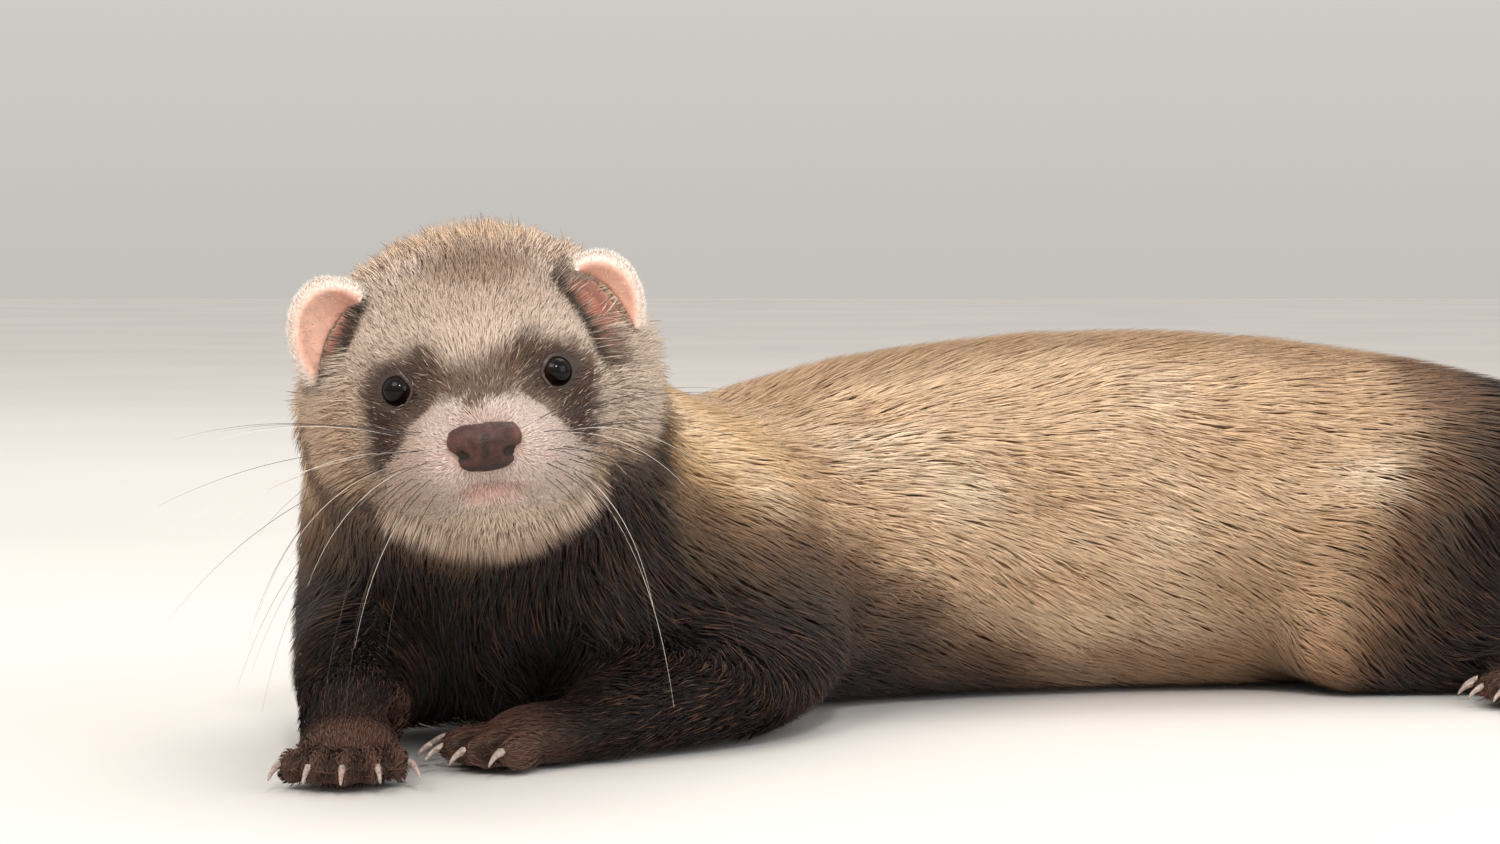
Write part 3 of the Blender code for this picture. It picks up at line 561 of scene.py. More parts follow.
# The edges of the mask and of the pale jaw: mm from the middle of the face, mm over the eyes
BROW_EDGE = ((0, 1.6), (3.5, 2.4), (6.5, 4.6), (9.3, 6.4), (12, 5.4), (15, 4.8), (18, 3.8),
             (20.5, 1.5))
MUZZLE_EDGE = ((0, -5.2), (2, -4.3), (4.5, -2.5), (7, -3.1), (9.5, -4.6), (12, -6.6), (14, -8.7),
               (15.6, -11.0), (17, -13.4), (20, -15.0))
JAW_EDGE = ((0, -30.6), (8, -29.8), (13, -27.6), (17, -24.6), (20, -21.6), (23, -18.4),
            (26, -15.6), (30, -14))


def edge_at(across, edge):
    """The height of an edge, given as pairs, at each place across it."""
    return np.interp(across, *zip(*edge))


def head_markings(points):
    """The hair's tips, the guard hairs and their share on the head."""
    face = on_face(points)
    x, y, z = np.abs(face[:, 0]), face[:, 1], face[:, 2]
    wave = noise(points, 3.2 * MM, 6) * 1.0 + noise(points, 1.5 * MM, 7) * 0.5
    flat = np.column_stack([face[:, 0], z])
    fronts = ramp(-y, -18, -8)
    # The mask: from the brows down round the eyes, and paler over the bridge
    muzzle_edge = edge_at(x, MUZZLE_EDGE)
    above = ramp(edge_at(x, BROW_EDGE) - (z + wave * 1.2), -2.6, 2.0)
    below = ramp((z + wave) - muzzle_edge, -0.9, 1.3)
    outside = ramp(-(x + wave * 1.3), -21.6, -17.6) * ramp(z + wave, -15.2, -11.6)
    mask = above * below * outside * fronts
    deep = ramp(x, 12.5, 15.5) * ramp(-z, -2.5, 2.0)
    inner = spot(np.column_stack([x, z]), (9.0, 2.6), (3.2, 3.6))
    # The white muzzle, and the dark throat under the jaw
    white = ramp(muzzle_edge - (z + wave * 0.9), -0.8, 1.3) * ramp(-(x + wave * 0.6), -18.5, -15.5)
    white *= ramp(-y, -8, -1) * ramp(z, -25, -18)
    bottom = ramp(edge_at(x, JAW_EDGE) - (z + wave * 1.6), -3.0, 2.4)
    bottom *= np.where(x > 15, ramp(y, -2, 8), 1.0)
    layers = [
        ("C9B5A3", ramp(x, 15, 21) * ramp(-z, -14, -2), 1.0),
        # painted warm light on the animal's right cheek
        ("C3A184", ramp(-face[:, 0], 16, 24) * ramp(-z, -6, 4), 0.75),
        ("C9A98A", np.maximum(ramp(z + wave, 20, 26), ramp(y, 30, 42)), 0.8),
        ("7C5F49", spot(flat, (3.0, 11.5), (20.6, 4.6)) * ramp(-y, -20, -12), 0.75),
        ("AC9078", spot(flat, (3.0, 17.0), (16.0, 6.0)) * fronts, 0.35),
        ("DFBE95", ramp(y, 34, 46) * ramp(x, 20, 30), 0.6),
        # painted shade on the lower sides of the cheeks
        ("B4967B", ramp(-z, 8, 19) * ramp(x, 14, 22), 0.85),
        ("6A4F3D", mask, 0.97),
        ("3A1F11", mask * deep, 0.92),
        ("523E32", mask * inner, 0.75),
        ("5A463B", ramp(-np.hypot((x - 14.2) / 1.1, z), -5.6, -3.6) * fronts, 0.85),  # lids
        ("DBC8BD", white, 1.0),
        # painted warm shade on the right side of the white muzzle
        ("C4A491", white * ramp(-face[:, 0], 5, 14), 0.55),
        ("BE9C90", spot(face, (0.0, 4.6), (-18.0, 6.0), (-7.0, 2.2)), 0.45),  # over the nose
        ("DEC8B4", ramp(-z + wave, 20, 24) * ramp(-x, -20, -14), 1.0),
        ("CFA597", spot(face, (0.6, 5.8), (-16.0, 6.0), (-18.6, 2.0)), 0.6),  # mouth
    ]
    for ear in EAR_LINES:
        outwards = beside(face, ear)[0]
        rim = ramp(outwards, -1.5, -0.5) * ramp(-outwards, -3.4, -2.0)
        layers.append(("54402F", rim * ramp(-y, -30, -24), 0.85))
    layers += [
        # painted shade along the bottom of the chin
        ("957863", ramp(-z, 23, 29.5) * ramp(-x, -20, -14), 0.7),
        ("7A5C48", 4 * bottom * (1 - bottom), 0.5),
        ("35241C", bottom, 1.0),
    ]
    clear = np.maximum(white, spot(face, (0.0, 14.0), (-8.0, 14.0), (-24.0, 5.0)))
    share = 0.09 * (1 - clear) * (1 - bottom) * (1 - mask) + 0.06 * mask
    share += 0.06 * ramp(z, 4, 20)
    guard = painted(plain("7A604E", points), ("CDB9A6", mask, 1.0))
    return painted(plain("D3BFAE", points), *layers), guard, share


def markings(points, normals, parts_soft):
    """Colours of the hair's tips and roots, the roots darkened with painted shade, and of the odd
    guard hairs with their share.
    """
    along = Line(TRUNK).nearest(points)[0]
    x = points[:, 0] - GROUND.x
    height = (points[:, 2] - GROUND.z) / MM
    waver = noise(points, 14 * MM, 1) * 5.0 + noise(points, 5 * MM, 2) * 2.2
    # The trunk: cream, with tan along the back and brown along the floor
    streak = ramp(noise(points * np.array([0.45, 0.6, 1.0]), 9 * MM, 3), -0.1, 0.7)
    pale = ramp(noise(points * np.array([0.5, 0.6, 1.0]), 11 * MM, 4), 0.05, 0.75)
    back = ramp(normals[:, 2], 0.84, 0.995) * ramp(height, 55, 72)
    low = ramp(-(height + waver * 0.5), -17, -6) * ramp(along, 120, 160)
    flank = ramp(along, 205, 232) * ramp(-(height + waver), -44, -24)
    # Dark shoulders, chest and forelegs
    border = edge_at(along, FRONT_BORDER)
    shadow = 1 - ramp(x, 31 * MM, 38 * MM)  # under the head and beside it
    near_side = x - np.interp(along, [0, 60, 100], [0.0, 0.006, 0.02])
    own_left = ramp(near_side, -8 * MM, 16 * MM) * ramp(-along, -84, -46) * shadow
    border = border + (OWN_LEFT_BORDER - border) * own_left
    dark = ramp(border - (height + waver * 0.8), -16, 15)
    front = ramp(-normals[:, 1], 0.15, 0.55) * ramp(-along, -75, -45) * shadow
    throat = front * ramp(-height, -66, -60)
    dark = np.maximum(dark * ramp(-along, -215, -190), throat)
    # Dark rump, hind legs and tail
    rump = ramp(along + waver * 1.2 - 0.36 * height, 239, 270)
    dark = np.maximum(dark, rump)
    low_arm = ramp(-(height + waver * 0.6), -38, -22)
    legs = np.maximum(parts_soft["forelegs"] * low_arm, parts_soft["hindpaws"])
    dark = np.maximum(dark, ramp(legs + noise(points, 8 * MM, 5) * 0.15, 0.25, 0.8))
    paws = parts_soft["hindpaws"].copy()
    for line in FORELEGS.values():
        limb = Line(line)
        down, _, far = limb.nearest(points)
        end = (limb.starts[-1] + limb.lengths[-1]) / MM
        paw = ramp(down, end - 25, end - 12) * ramp(-far, -16, -12) * ramp(-height, -22, -15)
        paws = np.maximum(paws, paw)
    colour = painted(
        plain(CREAM, points), (WARM, ramp(-along, -135, -60), 1.0), ("CFA67C", streak, 0.38),
        ("F3DFC4", pale, 0.6), ("A98461", back, 0.75), ("84604A", low, 0.6),
        ("A9835F", flank, 0.62), (BROWN, 4 * dark * (1 - dark), 0.8), (SABLE, dark, 1.0),
        ("6A4A3C", paws, 0.85))
    # Painted shade in the hollows of the paws, between the toes
    colour *= (1 - 0.70 * parts_soft["hollow"] * parts_soft["paws"])[:, None]
    # Painted shade low on the dark chest and forelegs, near the floor
    under = ramp(-height, -40, -12) * ramp(-along, -200, -150)
    colour *= (1 - 0.30 * dark * (1 - paws) * under)[:, None]
    # Painted shade deep in the coat: the roots darker than the tips, most of all in the dark fur
    roots = colour * 0.66
    roots = roots + (colour * 0.93 - roots) * (1 - dark)[:, None]
    guard = painted(plain("A07C58", points), (SABLE_TIP, dark, 1.0))
    share = (0.04 + 0.07 * streak + 0.16 * back) * (1 - dark) + 0.15 * dark
    skull = parts_soft["head"][:, None]
    head, guard_head, share_head = head_markings(points)
    return {
        "tip": colour * (1 - skull) + head * skull,
        # the head's roots darker than its tips: painted shade in the coat
        "root": roots * (1 - skull) + head * 0.84 * skull,
        "guard": guard * (1 - skull) + guard_head * skull,
        "share": share * (1 - skull[:, 0]) + share_head * skull[:, 0],
    }


# How often the lie is evened out, on the head and on the rest of the body
HEAD_ROUNDS = 13
BODY_ROUNDS = 46


def build_skin():
    """The skin, and the values on it that the coat grows from."""
    obj = skin_shape()
    outline_of(obj)
    mesh = obj.data
    outline = positions(mesh)
    near = Neighbours(mesh)
    parts = part_at(outline)
    normals = unit(near.smoothed(normals_of(mesh), 4))
    values = coat_values(outline, parts)
    limit = near.smoothed(depth_limits(mesh, outline, normals), 2)
    values = near.smoothed(values, 15)
    values[:, DEPTH] = np.minimum(values[:, DEPTH], limit / MM * THICKEST_COAT)
    values[:, DEPTH] = near.smoothed(values[:, DEPTH], 3)
    lie = flattened(lie_of(outline, parts), normals)
    body = (parts != FLESH.index("head")).astype(float)
    body = near.smoothed(body, 6)[:, None]
    for number in range(BODY_ROUNDS):
        mixed = flattened(lie * 0.3 + near.mean(lie) * 0.7, normals)
        lie = mixed if number < HEAD_ROUNDS else flattened(
            lie * (1 - body) + mixed * body, normals)
    soft = {}
    names = np.array(FLESH)[parts]
    groups = {
        "head": ["head"],
        "forelegs": [n for n in FLESH if n.startswith("fore")],
        "hindpaws": [n for n in FLESH if n.startswith("hindpaw")],
        "paws": [n for n in FLESH if "paw" in n],
    }
    for group, members in groups.items():
        rounds = 6 if group == "head" else 9
        soft[group] = near.smoothed(np.isin(names, members).astype(float), rounds)
    # how deep each place lies in a hollow, for the painted shade there
    inwards = ((near.smoothed(outline, 5) - outline) * normals).sum(1) / MM
    soft["hollow"] = ramp(inwards, 0.03, 0.16)
    onwards = 0.85 * values[:, LENGTH] * (1 - soft["head"]) * (1 - soft["paws"])
    marks = markings(outline + lie * (onwards * MM)[:, None], normals, soft)
    skin = outline - normals * (values[:, DEPTH] * MM)[:, None]
    skin = near.smoothed(skin, 2, 0.4)
    moved(mesh, skin)
    smooth_shaded(mesh)
    return obj, {
        "outline": outline, "normals": unit(near.smoothed(normals_of(mesh), 2)), "lie": lie,
        "depth": values[:, DEPTH], "length": values[:, LENGTH], "width": values[:, WIDTH],
        "number": values[:, NUMBER], "rise": values[:, RISE], "parts": parts, "marks": marks,
        "face": on_face(outline),
    }


def unwrap(obj):
    """An unwrap of the skin's own shape, for the coat's roots as well."""
    bpy.ops.object.select_all(action="DESELECT")
    obj.select_set(True)
    bpy.context.view_layer.objects.active = obj
    bpy.ops.object.mode_set(mode="EDIT")
    bpy.ops.mesh.select_all(action="SELECT")
    bpy.ops.uv.smart_project(angle_limit=math.radians(70), island_margin=0.002)
    bpy.ops.object.mode_set(mode="OBJECT")
    obj.data.uv_layers.active.name = "OFBake"


# How each kind of hair grows: how high it lifts and at the least, how far it strays (radians),
# how large a lock is (mm) and how far it draws together, and how free of the coat it stands
GROWTH = {
    "face": (1.0, 0.62, 0.16, 3.0, 0.20, 0.0),
    "body": (0.95, 0.88, 0.10, 9.0, 0.07, 0.0),
    "on the ears": (1.0, 0.6, 0.22, 2.5, 0.12, 0.18),
    "ear fringe": (0.5, 0.4, 0.20, 2.0, 0.30, 0.25),
    "jaw fringe": (0.4, 0.3, 0.20, 2.6, 0.42, 0.16),
    "cheek fringe": (0.6, 0.3, 0.20, 3.0, 0.45, 0.22),
}
ROOT_DEPTH = 0.25 * MM
FLOOR_GAP = 0.15 * MM
RIDGE = 0.20  # height of a tuft over half its width
PATCH = 0.003  # size of a tuft's own place on the unwrap of the skin
CORNERS = 7  # three at the root, three at the middle and the tip
MIDDLE = 0.5  # how far along a tuft its middle lies


class Roots:
    """Places on the skin where tufts grow, with all that the skin knows there."""

    def __init__(self, mesh, fields, keep, density, rng):
        mesh.calc_loop_triangles()
        corners = read_all(mesh.loop_triangles, "vertices", 3, np.int32)
        loops = read_all(mesh.loop_triangles, "loops", 3, np.int32)
        points = positions(mesh)
        a, b, c = (points[corners[:, i]] for i in range(3))
        area = np.linalg.norm(np.cross(b - a, c - a), axis=1) / 2 / MM**2
        weight = area * (density * keep)[corners].mean(1)
        total = weight.sum()
        count = int(total)
        order = np.cumsum(weight) / total
        drawn = (np.arange(count) + rng.random(count)) / count
        tri = np.minimum(np.searchsorted(order, drawn), len(order) - 1)
        u, v = rng.random(count), rng.random(count)
        over = u + v > 1
        u[over], v[over] = 1 - u[over], 1 - v[over]
        self.shares = np.column_stack([1 - u - v, u, v])
        self.corners = corners[tri]
        self.count = count
        self.place = self.of(points)
        uv = read_all(mesh.uv_layers["OFBake"].data, "uv", 2)
        self.uv = (uv[loops[tri]] * self.shares[:, :, None]).sum(1)
        self.fields = fields

    def of(self, values):
        """A value of the skin's corners, at each root."""
        picked = values[self.corners]
        if picked.ndim == 2:
            return (picked * self.shares).sum(1)
        return (picked * self.shares[:, :, None]).sum(1)

    def every(self, step, first):
        """One root in so many, from the first given on."""
        part = copy.copy(self)
        part.shares, part.corners = self.shares[first::step], self.corners[first::step]
        part.place, part.uv = self.place[first::step], self.uv[first::step]
        part.count = len(part.place)
        return part


def tuft_mesh(name, root, middle, tip, side, up, wide, middle_wide, uv, colours, chance):
    """Closed tapered tufts, three-sided, with a ridge on the outside."""
    count = len(root)
    ridge = up * RIDGE
    points = np.empty((count, CORNERS, 3))
    for first, place, width in ((0, root, wide), (3, middle, middle_wide)):
        half = width[:, None] / 2
        points[:, first] = place - side * half
        points[:, first + 1] = place + side * half
        points[:, first + 2] = place + ridge * half * 2
    points[:, 6] = tip
    quads = np.array([[0, 3, 4, 1], [1, 4, 5, 2], [2, 5, 3, 0]])
    tris = np.array([[0, 1, 2], [3, 6, 4], [4, 6, 5], [5, 6, 3]])
    pattern = np.concatenate([quads.ravel(), tris.ravel()])
    base = np.arange(count)[:, None] * CORNERS
    corners = (base + pattern).ravel()
    sizes = np.tile([4, 4, 4, 3, 3, 3, 3], count)
    starts = np.concatenate([[0], np.cumsum(sizes)[:-1]])
    mesh = bpy.data.meshes.new(name)
    mesh.vertices.add(count * CORNERS)
    mesh.vertices.foreach_set("co", points.astype(np.float32).ravel())
    mesh.loops.add(len(corners))
    mesh.loops.foreach_set("vertex_index", corners.astype(np.int32))
    mesh.polygons.add(len(sizes))
    mesh.polygons.foreach_set("loop_start", starts.astype(np.int32))
    mesh.polygons.foreach_set("use_smooth", np.ones(len(sizes), bool))
    spread = np.array([[0, 0], [1, 0], [0.5, 0], [0, 0.5], [1, 0.5], [0.5, 0.5], [0.5, 1]])
    spread = (spread - 0.5) * PATCH
    layer = mesh.uv_layers.new(name="OFBake")
    patches = uv[:, None, :] + spread[pattern][None]
    layer.data.foreach_set("uv", patches.astype(np.float32).ravel())
    mesh.update(calc_edges=True)
    shaded_root_tone, tip_tone = colours
    set_values(mesh, "shaded_root_tone", "FLOAT_COLOR", with_alpha(np.repeat(shaded_root_tone, CORNERS, axis=0)))
    set_values(mesh, "tip_tone", "FLOAT_COLOR", with_alpha(np.repeat(tip_tone, CORNERS, axis=0)))
    set_values(mesh, "along", "FLOAT", np.tile([0, 0, 0, MIDDLE, MIDDLE, MIDDLE, 1.0], count))
    set_values(mesh, "chance", "FLOAT", np.repeat(chance, CORNERS))
    return linked(name, mesh)


def lock_numbers(place, size):
    """The same number for all roots that grow in one small patch."""
    cells = np.floor(place / size + noise(place, size * 1.8, 14)[:, None] * 0.5)
    key = cells @ np.array([73856093.0, 19349663.0, 83492791.0])
    return np.unique(key, return_inverse=True)[1]


MINGLED = 0.4  # share of the hairs that take another's tone
MINGLED_REACH = 4.5 * MM


def mingled(tones, place, rng):
    """Some hairs take the tone of a neighbour, as where one marking grows into the next."""
    order = np.lexsort((rng.random(len(place)), lock_numbers(place, 2.2 * MM)))
    taken = rng.random(len(place)) < MINGLED
    partner = np.roll(order, 1)
    taken &= np.linalg.norm(place[order] - place[partner], axis=1) < MINGLED_REACH
    return [swap(tone, order[taken], partner[taken]) for tone in tones]


def swap(tone, to, source):
    made = tone.copy()
    made[to] = tone[source]
    return made


def grow(name, skin_tree, roots, rng, kind):
    """Tufts from their roots along the lie, held near the outline and drawn together in locks."""
    lifted, lowest, stray, lock, draw, free = GROWTH[kind]
    fields = roots.fields
    count = roots.count
    normal = unit(roots.of(fields["normals"]))
    lie = roots.of(fields["lie"])
    if "fringe" not in kind:
        lie = flattened(lie, normal)
    if free:
        lie = unit(unit(lie) + normal * free)
    place = roots.place
    length = roots.of(fields["length"]) * MM
    depth = np.maximum(roots.of(fields["depth"]), 0.25) * MM
    width = roots.of(fields["width"]) * MM
    side = np.cross(lie, normal)
    # The coat's own waves, and each tuft's own lean
    size = lock * MM
    turn = noise(place, size * 2.2, 11) * 0.24 + noise(place, size, 12) * 0.15
    turn += rng.normal(0, stray, count)
    way = unit(lie * np.cos(turn)[:, None] + side * np.sin(turn)[:, None])
    length = length * rng.uniform(0.72, 1.16, count)
    rise = roots.of(fields["rise"])
    clump = 1 + 0.45 * (rise - 1) * noise(place, 2.6 * MM, 15)
    lift = lifted * rise * clump * rng.uniform(lowest, 1.06, count)
    lift = np.maximum(lift + noise(place, size, 13) * 0.07, 0.1)
    reach = np.sqrt(np.maximum(length**2 - (depth * lift) ** 2, (0.3 * length) ** 2))
    middle = place + way * (reach * MIDDLE)[:, None]
    tip = place + way * reach[:, None]
    found = []
    for spots, height in ((middle, 0.66 * lift), (tip, lift)):
        laid = spots + normal * (depth * height)[:, None]
        for number, spot_at in enumerate(spots if not free else ()):
            near, face_normal, _, far = skin_tree.find_nearest(Vector(spot_at))
            if far <= length[number] * 0.7:
                laid[number] = np.array(near + face_normal * (depth[number] * height[number]))
        found.append(laid)
    middle, tip = found
    # Tips lean together into locks
    group = lock_numbers(place, size * 0.55)
    number = np.bincount(group).astype(float)
    centre_root = np.column_stack(
        [np.bincount(group, weights=place[:, i]) / number for i in range(3)])[group]
    offset = (centre_root - place) * draw
    tip = tip + offset
    middle = middle + offset * 0.35
    middle[:, 2] = np.maximum(middle[:, 2], FLOOR_GAP)
    tip[:, 2] = np.maximum(tip[:, 2], FLOOR_GAP * rng.uniform(1, 3, count))
    root = place - normal * ROOT_DEPTH
    side = unit(np.cross(unit(tip - root), normal))
    marks = fields["marks"]
    chance = rng.random(count)
    guard = chance < roots.of(marks["share"])
    tone, base = mingled([roots.of(marks["tip"]), roots.of(marks["root"])], place, rng)
    tone[guard] = roots.of(marks["guard"])[guard]
    width = width * rng.uniform(0.75, 1.2, count) * np.where(guard, 0.8, 1.0)
    lengthen = np.where(guard, 1.06, 1.0)[:, None]
    tip = root + (tip - root) * lengthen
    tip[:, 2] = np.maximum(tip[:, 2], FLOOR_GAP)
    return tuft_mesh(name, root, middle, tip, side, normal, width * 0.85, width,
                     roots.uv, (base, tone), rng.random(count))


def add(tree, kind, place=(0, 0), inputs=(), stops=(), **settings):
    """A node with its settings, links or values for its inputs, and a colour ramp's stops."""
    node = tree.nodes.new(kind)
    node.location = place
    for key, value in settings.items():
        setattr(node, key, value)
    for key, value in dict(inputs).items():
        if isinstance(value, bpy.types.NodeSocket):
            tree.links.new(value, node.inputs[key])
        else:
            node.inputs[key].default_value = value
    if stops:
        elements = node.color_ramp.elements
        while len(elements) < len(stops):
            elements.new(0.5)
        for element, (position, code) in zip(elements, stops):
            element.position = position
            element.color = tint(code)
    return node


def new_material(name):
    made = bpy.data.materials.new(name)
    made.use_nodes = True
    made.node_tree.nodes.clear()
    return made, made.node_tree


def hair_material():
    """Ferret hair: soft, faintly glossy, darker at the root with painted shade and paler or darker
    from hair to hair.
    """
    made, tree = new_material("hair")
    root, tip, along, chance = (
        add(tree, "ShaderNodeAttribute", (-900, 200 - 200 * row), attribute_name=name)
        for row, name in enumerate(("shaded_root_tone", "tip_tone", "along", "chance")))
    rise = add(tree, "ShaderNodeMapRange", (-650, -150),
               {"Value": along.outputs["Fac"], "From Min": 0.05, "From Max": 0.75, "To Min": 0.0,
                "To Max": 1.0}, interpolation_type="SMOOTHSTEP")
    tone = add(tree, "ShaderNodeMix", (-400, 100),
               {"Factor": rise.outputs["Result"], "A": root.outputs["Color"],
                "B": tip.outputs["Color"]}, data_type="RGBA")
    where = add(tree, "ShaderNodeTexCoord", (-1100, -600)).outputs["Object"]
    # specks of about 1 mm, as coarse as they need to be to show
    fleck = add(tree, "ShaderNodeTexNoise", (-900, -600),
                {"Vector": where, "Scale": 900.0, "Detail": 2.0})
    vary = add(tree, "ShaderNodeMath", (-650, -400),
               {0: chance.outputs["Fac"], 1: 0.18}, operation="MULTIPLY")
    grain = add(tree, "ShaderNodeMath", (-650, -550),
                {0: fleck.outputs["Fac"], 1: 0.12}, operation="MULTIPLY")
    total = add(tree, "ShaderNodeMath", (-450, -450),
                {0: vary.outputs[0], 1: grain.outputs[0]}, operation="ADD")
    bright = add(tree, "ShaderNodeMath", (-300, -400),
                 {0: total.outputs[0], 1: 0.98}, operation="ADD")
    toned = add(tree, "ShaderNodeHueSaturation", (-150, 100),
                {"Color": tone.outputs["Result"], "Value": bright.outputs[0]})
    shader = add(tree, "ShaderNodeBsdfPrincipled", (300, 0),
                 {"Base Color": toned.outputs["Color"], "Roughness": 0.66,
                  "Specular IOR Level": 0.22, "Sheen Weight": 0.06, "Sheen Roughness": 0.5})
    add(tree, "ShaderNodeOutputMaterial", (900, 0), {"Surface": shader.outputs[0]})
    return made


def skin_material():
    """Thin furred skin: its own markings under the coat, with fine pores and creases."""
    made, tree = new_material("skin")
    tone = add(tree, "ShaderNodeAttribute", (-900, 0), attribute_name="tone").outputs["Color"]
    where = add(tree, "ShaderNodeTexCoord", (-1100, -300)).outputs["Object"]
    # pores and creases about 0.7 mm apart, coarser than the real ones so that they show
    pores = add(tree, "ShaderNodeTexNoise", (-700, -300),
                {"Vector": where, "Scale": 1400.0, "Detail": 4.0, "Roughness": 0.6})
    vary = add(tree, "ShaderNodeMapRange", (-450, -200),
               {"Value": pores.outputs["Fac"], "To Min": 0.82, "To Max": 1.15})
    toned = add(tree, "ShaderNodeHueSaturation", (-200, 100),
                {"Color": tone, "Value": vary.outputs["Result"]})
    bump = add(tree, "ShaderNodeBump", (-200, -300),
               {"Height": pores.outputs["Fac"], "Strength": 0.5, "Distance": 0.0002})
    shader = add(tree, "ShaderNodeBsdfPrincipled", (300, 0),
                 {"Base Color": toned.outputs["Color"], "Roughness": 0.6,
                  "Normal": bump.outputs["Normal"]})
    add(tree, "ShaderNodeOutputMaterial", (900, 0), {"Surface": shader.outputs[0]})
    return made


def eye_material():
    """A wet, almost black brown eye: dark pupil, deep brown iris, clear tear film."""
    made, tree = new_material("eye")
    facing = add(tree, "ShaderNodeAttribute", (-900, 0), attribute_name="facing").outputs["Fac"]
    where = add(tree, "ShaderNodeTexCoord", (-1100, -300)).outputs["Object"]
    # fibres of the iris, about 0.4 mm
    fibres = add(tree, "ShaderNodeTexNoise", (-700, -300),
                 {"Vector": where, "Scale": 2600.0, "Detail": 3.0})
    spread = add(tree, "ShaderNodeMath", (-500, -250),
                 {0: fibres.outputs["Fac"], 1: 0.05}, operation="MULTIPLY")
    shifted = add(tree, "ShaderNodeMath", (-350, -100),
                  {0: facing, 1: spread.outputs[0]}, operation="ADD")
    stops = [(0.0, "0E0907"), (0.62, "170E0A"), (0.80, "22150F"),
             (0.90, "0A0605"), (1.0, "040303")]
    colour = add(tree, "ShaderNodeValToRGB", (-100, 0), {"Fac": shifted.outputs[0]}, stops)
    shader = add(tree, "ShaderNodeBsdfPrincipled", (300, 0),
                 {"Base Color": colour.outputs["Color"], "Roughness": 0.2,
                  "Specular IOR Level": 0.05, "Coat Weight": 0.6, "Coat Roughness": 0.02,
                  "Coat IOR": 1.34})
    add(tree, "ShaderNodeOutputMaterial", (900, 0), {"Surface": shader.outputs[0]})
    return made


def lid_material():
    """The bare, moist rim of the lids: greyish mauve, mottled darker and lighter with fine
    wrinkles.
    """
    made, tree = new_material("lid_rim")
    where = add(tree, "ShaderNodeTexCoord", (-1100, -300)).outputs["Object"]
    # wrinkles of about 0.6 mm
    fine = add(tree, "ShaderNodeTexNoise", (-700, -300),
               {"Vector": where, "Scale": 1800.0, "Detail": 3.0})
    stops = [(0.3, "2C201E"), (0.7, "564340")]
    colour = add(tree, "ShaderNodeValToRGB", (-300, 0), {"Fac": fine.outputs["Fac"]}, stops)
    bump = add(tree, "ShaderNodeBump", (-100, -300),
               {"Height": fine.outputs["Fac"], "Strength": 0.4, "Distance": 0.0001})
    shader = add(tree, "ShaderNodeBsdfPrincipled", (300, 0),
                 {"Base Color": colour.outputs["Color"], "Roughness": 0.32,
                  "Normal": bump.outputs["Normal"]})
    add(tree, "ShaderNodeOutputMaterial", (900, 0), {"Surface": shader.outputs[0]})
    return made


def nose_material():
    """The bare nose pad: mauve brown, pebbled at about 0.4 mm, moist, with painted shade in the
    nostrils.
    """
    made, tree = new_material("nose_pad")
    tone = add(tree, "ShaderNodeAttribute", (-900, 0), attribute_name="tone").outputs["Color"]
    where = add(tree, "ShaderNodeTexCoord", (-1100, -300)).outputs["Object"]
    pebbles = add(tree, "ShaderNodeTexVoronoi", (-700, -300), {"Vector": where, "Scale": 2300.0})
    # blotches of about 1.4 mm
    blotch = add(tree, "ShaderNodeTexNoise", (-700, 0),
                 {"Vector": where, "Scale": 700.0, "Detail": 3.0})
    vary = add(tree, "ShaderNodeMapRange", (-450, 0),
               {"Value": blotch.outputs["Fac"], "From Min": 0.3, "From Max": 0.7,
                "To Min": 0.55, "To Max": 1.55})
    toned = add(tree, "ShaderNodeHueSaturation", (-200, 100),
                {"Color": tone, "Value": vary.outputs["Result"]})
    bump = add(tree, "ShaderNodeBump", (-200, -300),
               {"Height": pebbles.outputs["Distance"], "Strength": 0.55, "Distance": 0.0002},
               invert=True)
    shader = add(tree, "ShaderNodeBsdfPrincipled", (300, 0),
                 {"Base Color": toned.outputs["Color"], "Roughness": 0.5,
                  "Specular IOR Level": 0.3,
                  "Normal": bump.outputs["Normal"], "Coat Weight": 0.08, "Coat Roughness": 0.3})
    add(tree, "ShaderNodeOutputMaterial", (900, 0), {"Surface": shader.outputs[0]})
    return made


def ear_material():
    """Thin ear skin: pink inside, cream at the rim and on the back, faint veins."""
    made, tree = new_material("ear_skin")
    tone = add(tree, "ShaderNodeAttribute", (-900, 0), attribute_name="tone").outputs["Color"]
    where = add(tree, "ShaderNodeTexCoord", (-1100, -300)).outputs["Object"]
    # veins about 2.4 mm apart
    veins = add(tree, "ShaderNodeTexNoise", (-700, -300),
                {"Vector": where, "Scale": 420.0, "Detail": 5.0, "Distortion": 0.8})
    vary = add(tree, "ShaderNodeMapRange", (-450, -100),
               {"Value": veins.outputs["Fac"], "From Min": 0.3, "From Max": 0.7,
                "To Min": 0.88, "To Max": 1.1})
    toned = add(tree, "ShaderNodeHueSaturation", (-200, 100),
                {"Color": tone, "Value": vary.outputs["Result"]})
    bump = add(tree, "ShaderNodeBump", (-200, -300),
               {"Height": veins.outputs["Fac"], "Strength": 0.35, "Distance": 0.0003})
    shader = add(tree, "ShaderNodeBsdfPrincipled", (300, 0),
                 {"Base Color": toned.outputs["Color"], "Roughness": 0.55,
                  "Normal": bump.outputs["Normal"], "Subsurface Weight": 0.3,
                  "Subsurface Radius": (0.6, 0.3, 0.2), "Subsurface Scale": 0.0012})
    add(tree, "ShaderNodeOutputMaterial", (900, 0), {"Surface": shader.outputs[0]})
    return made


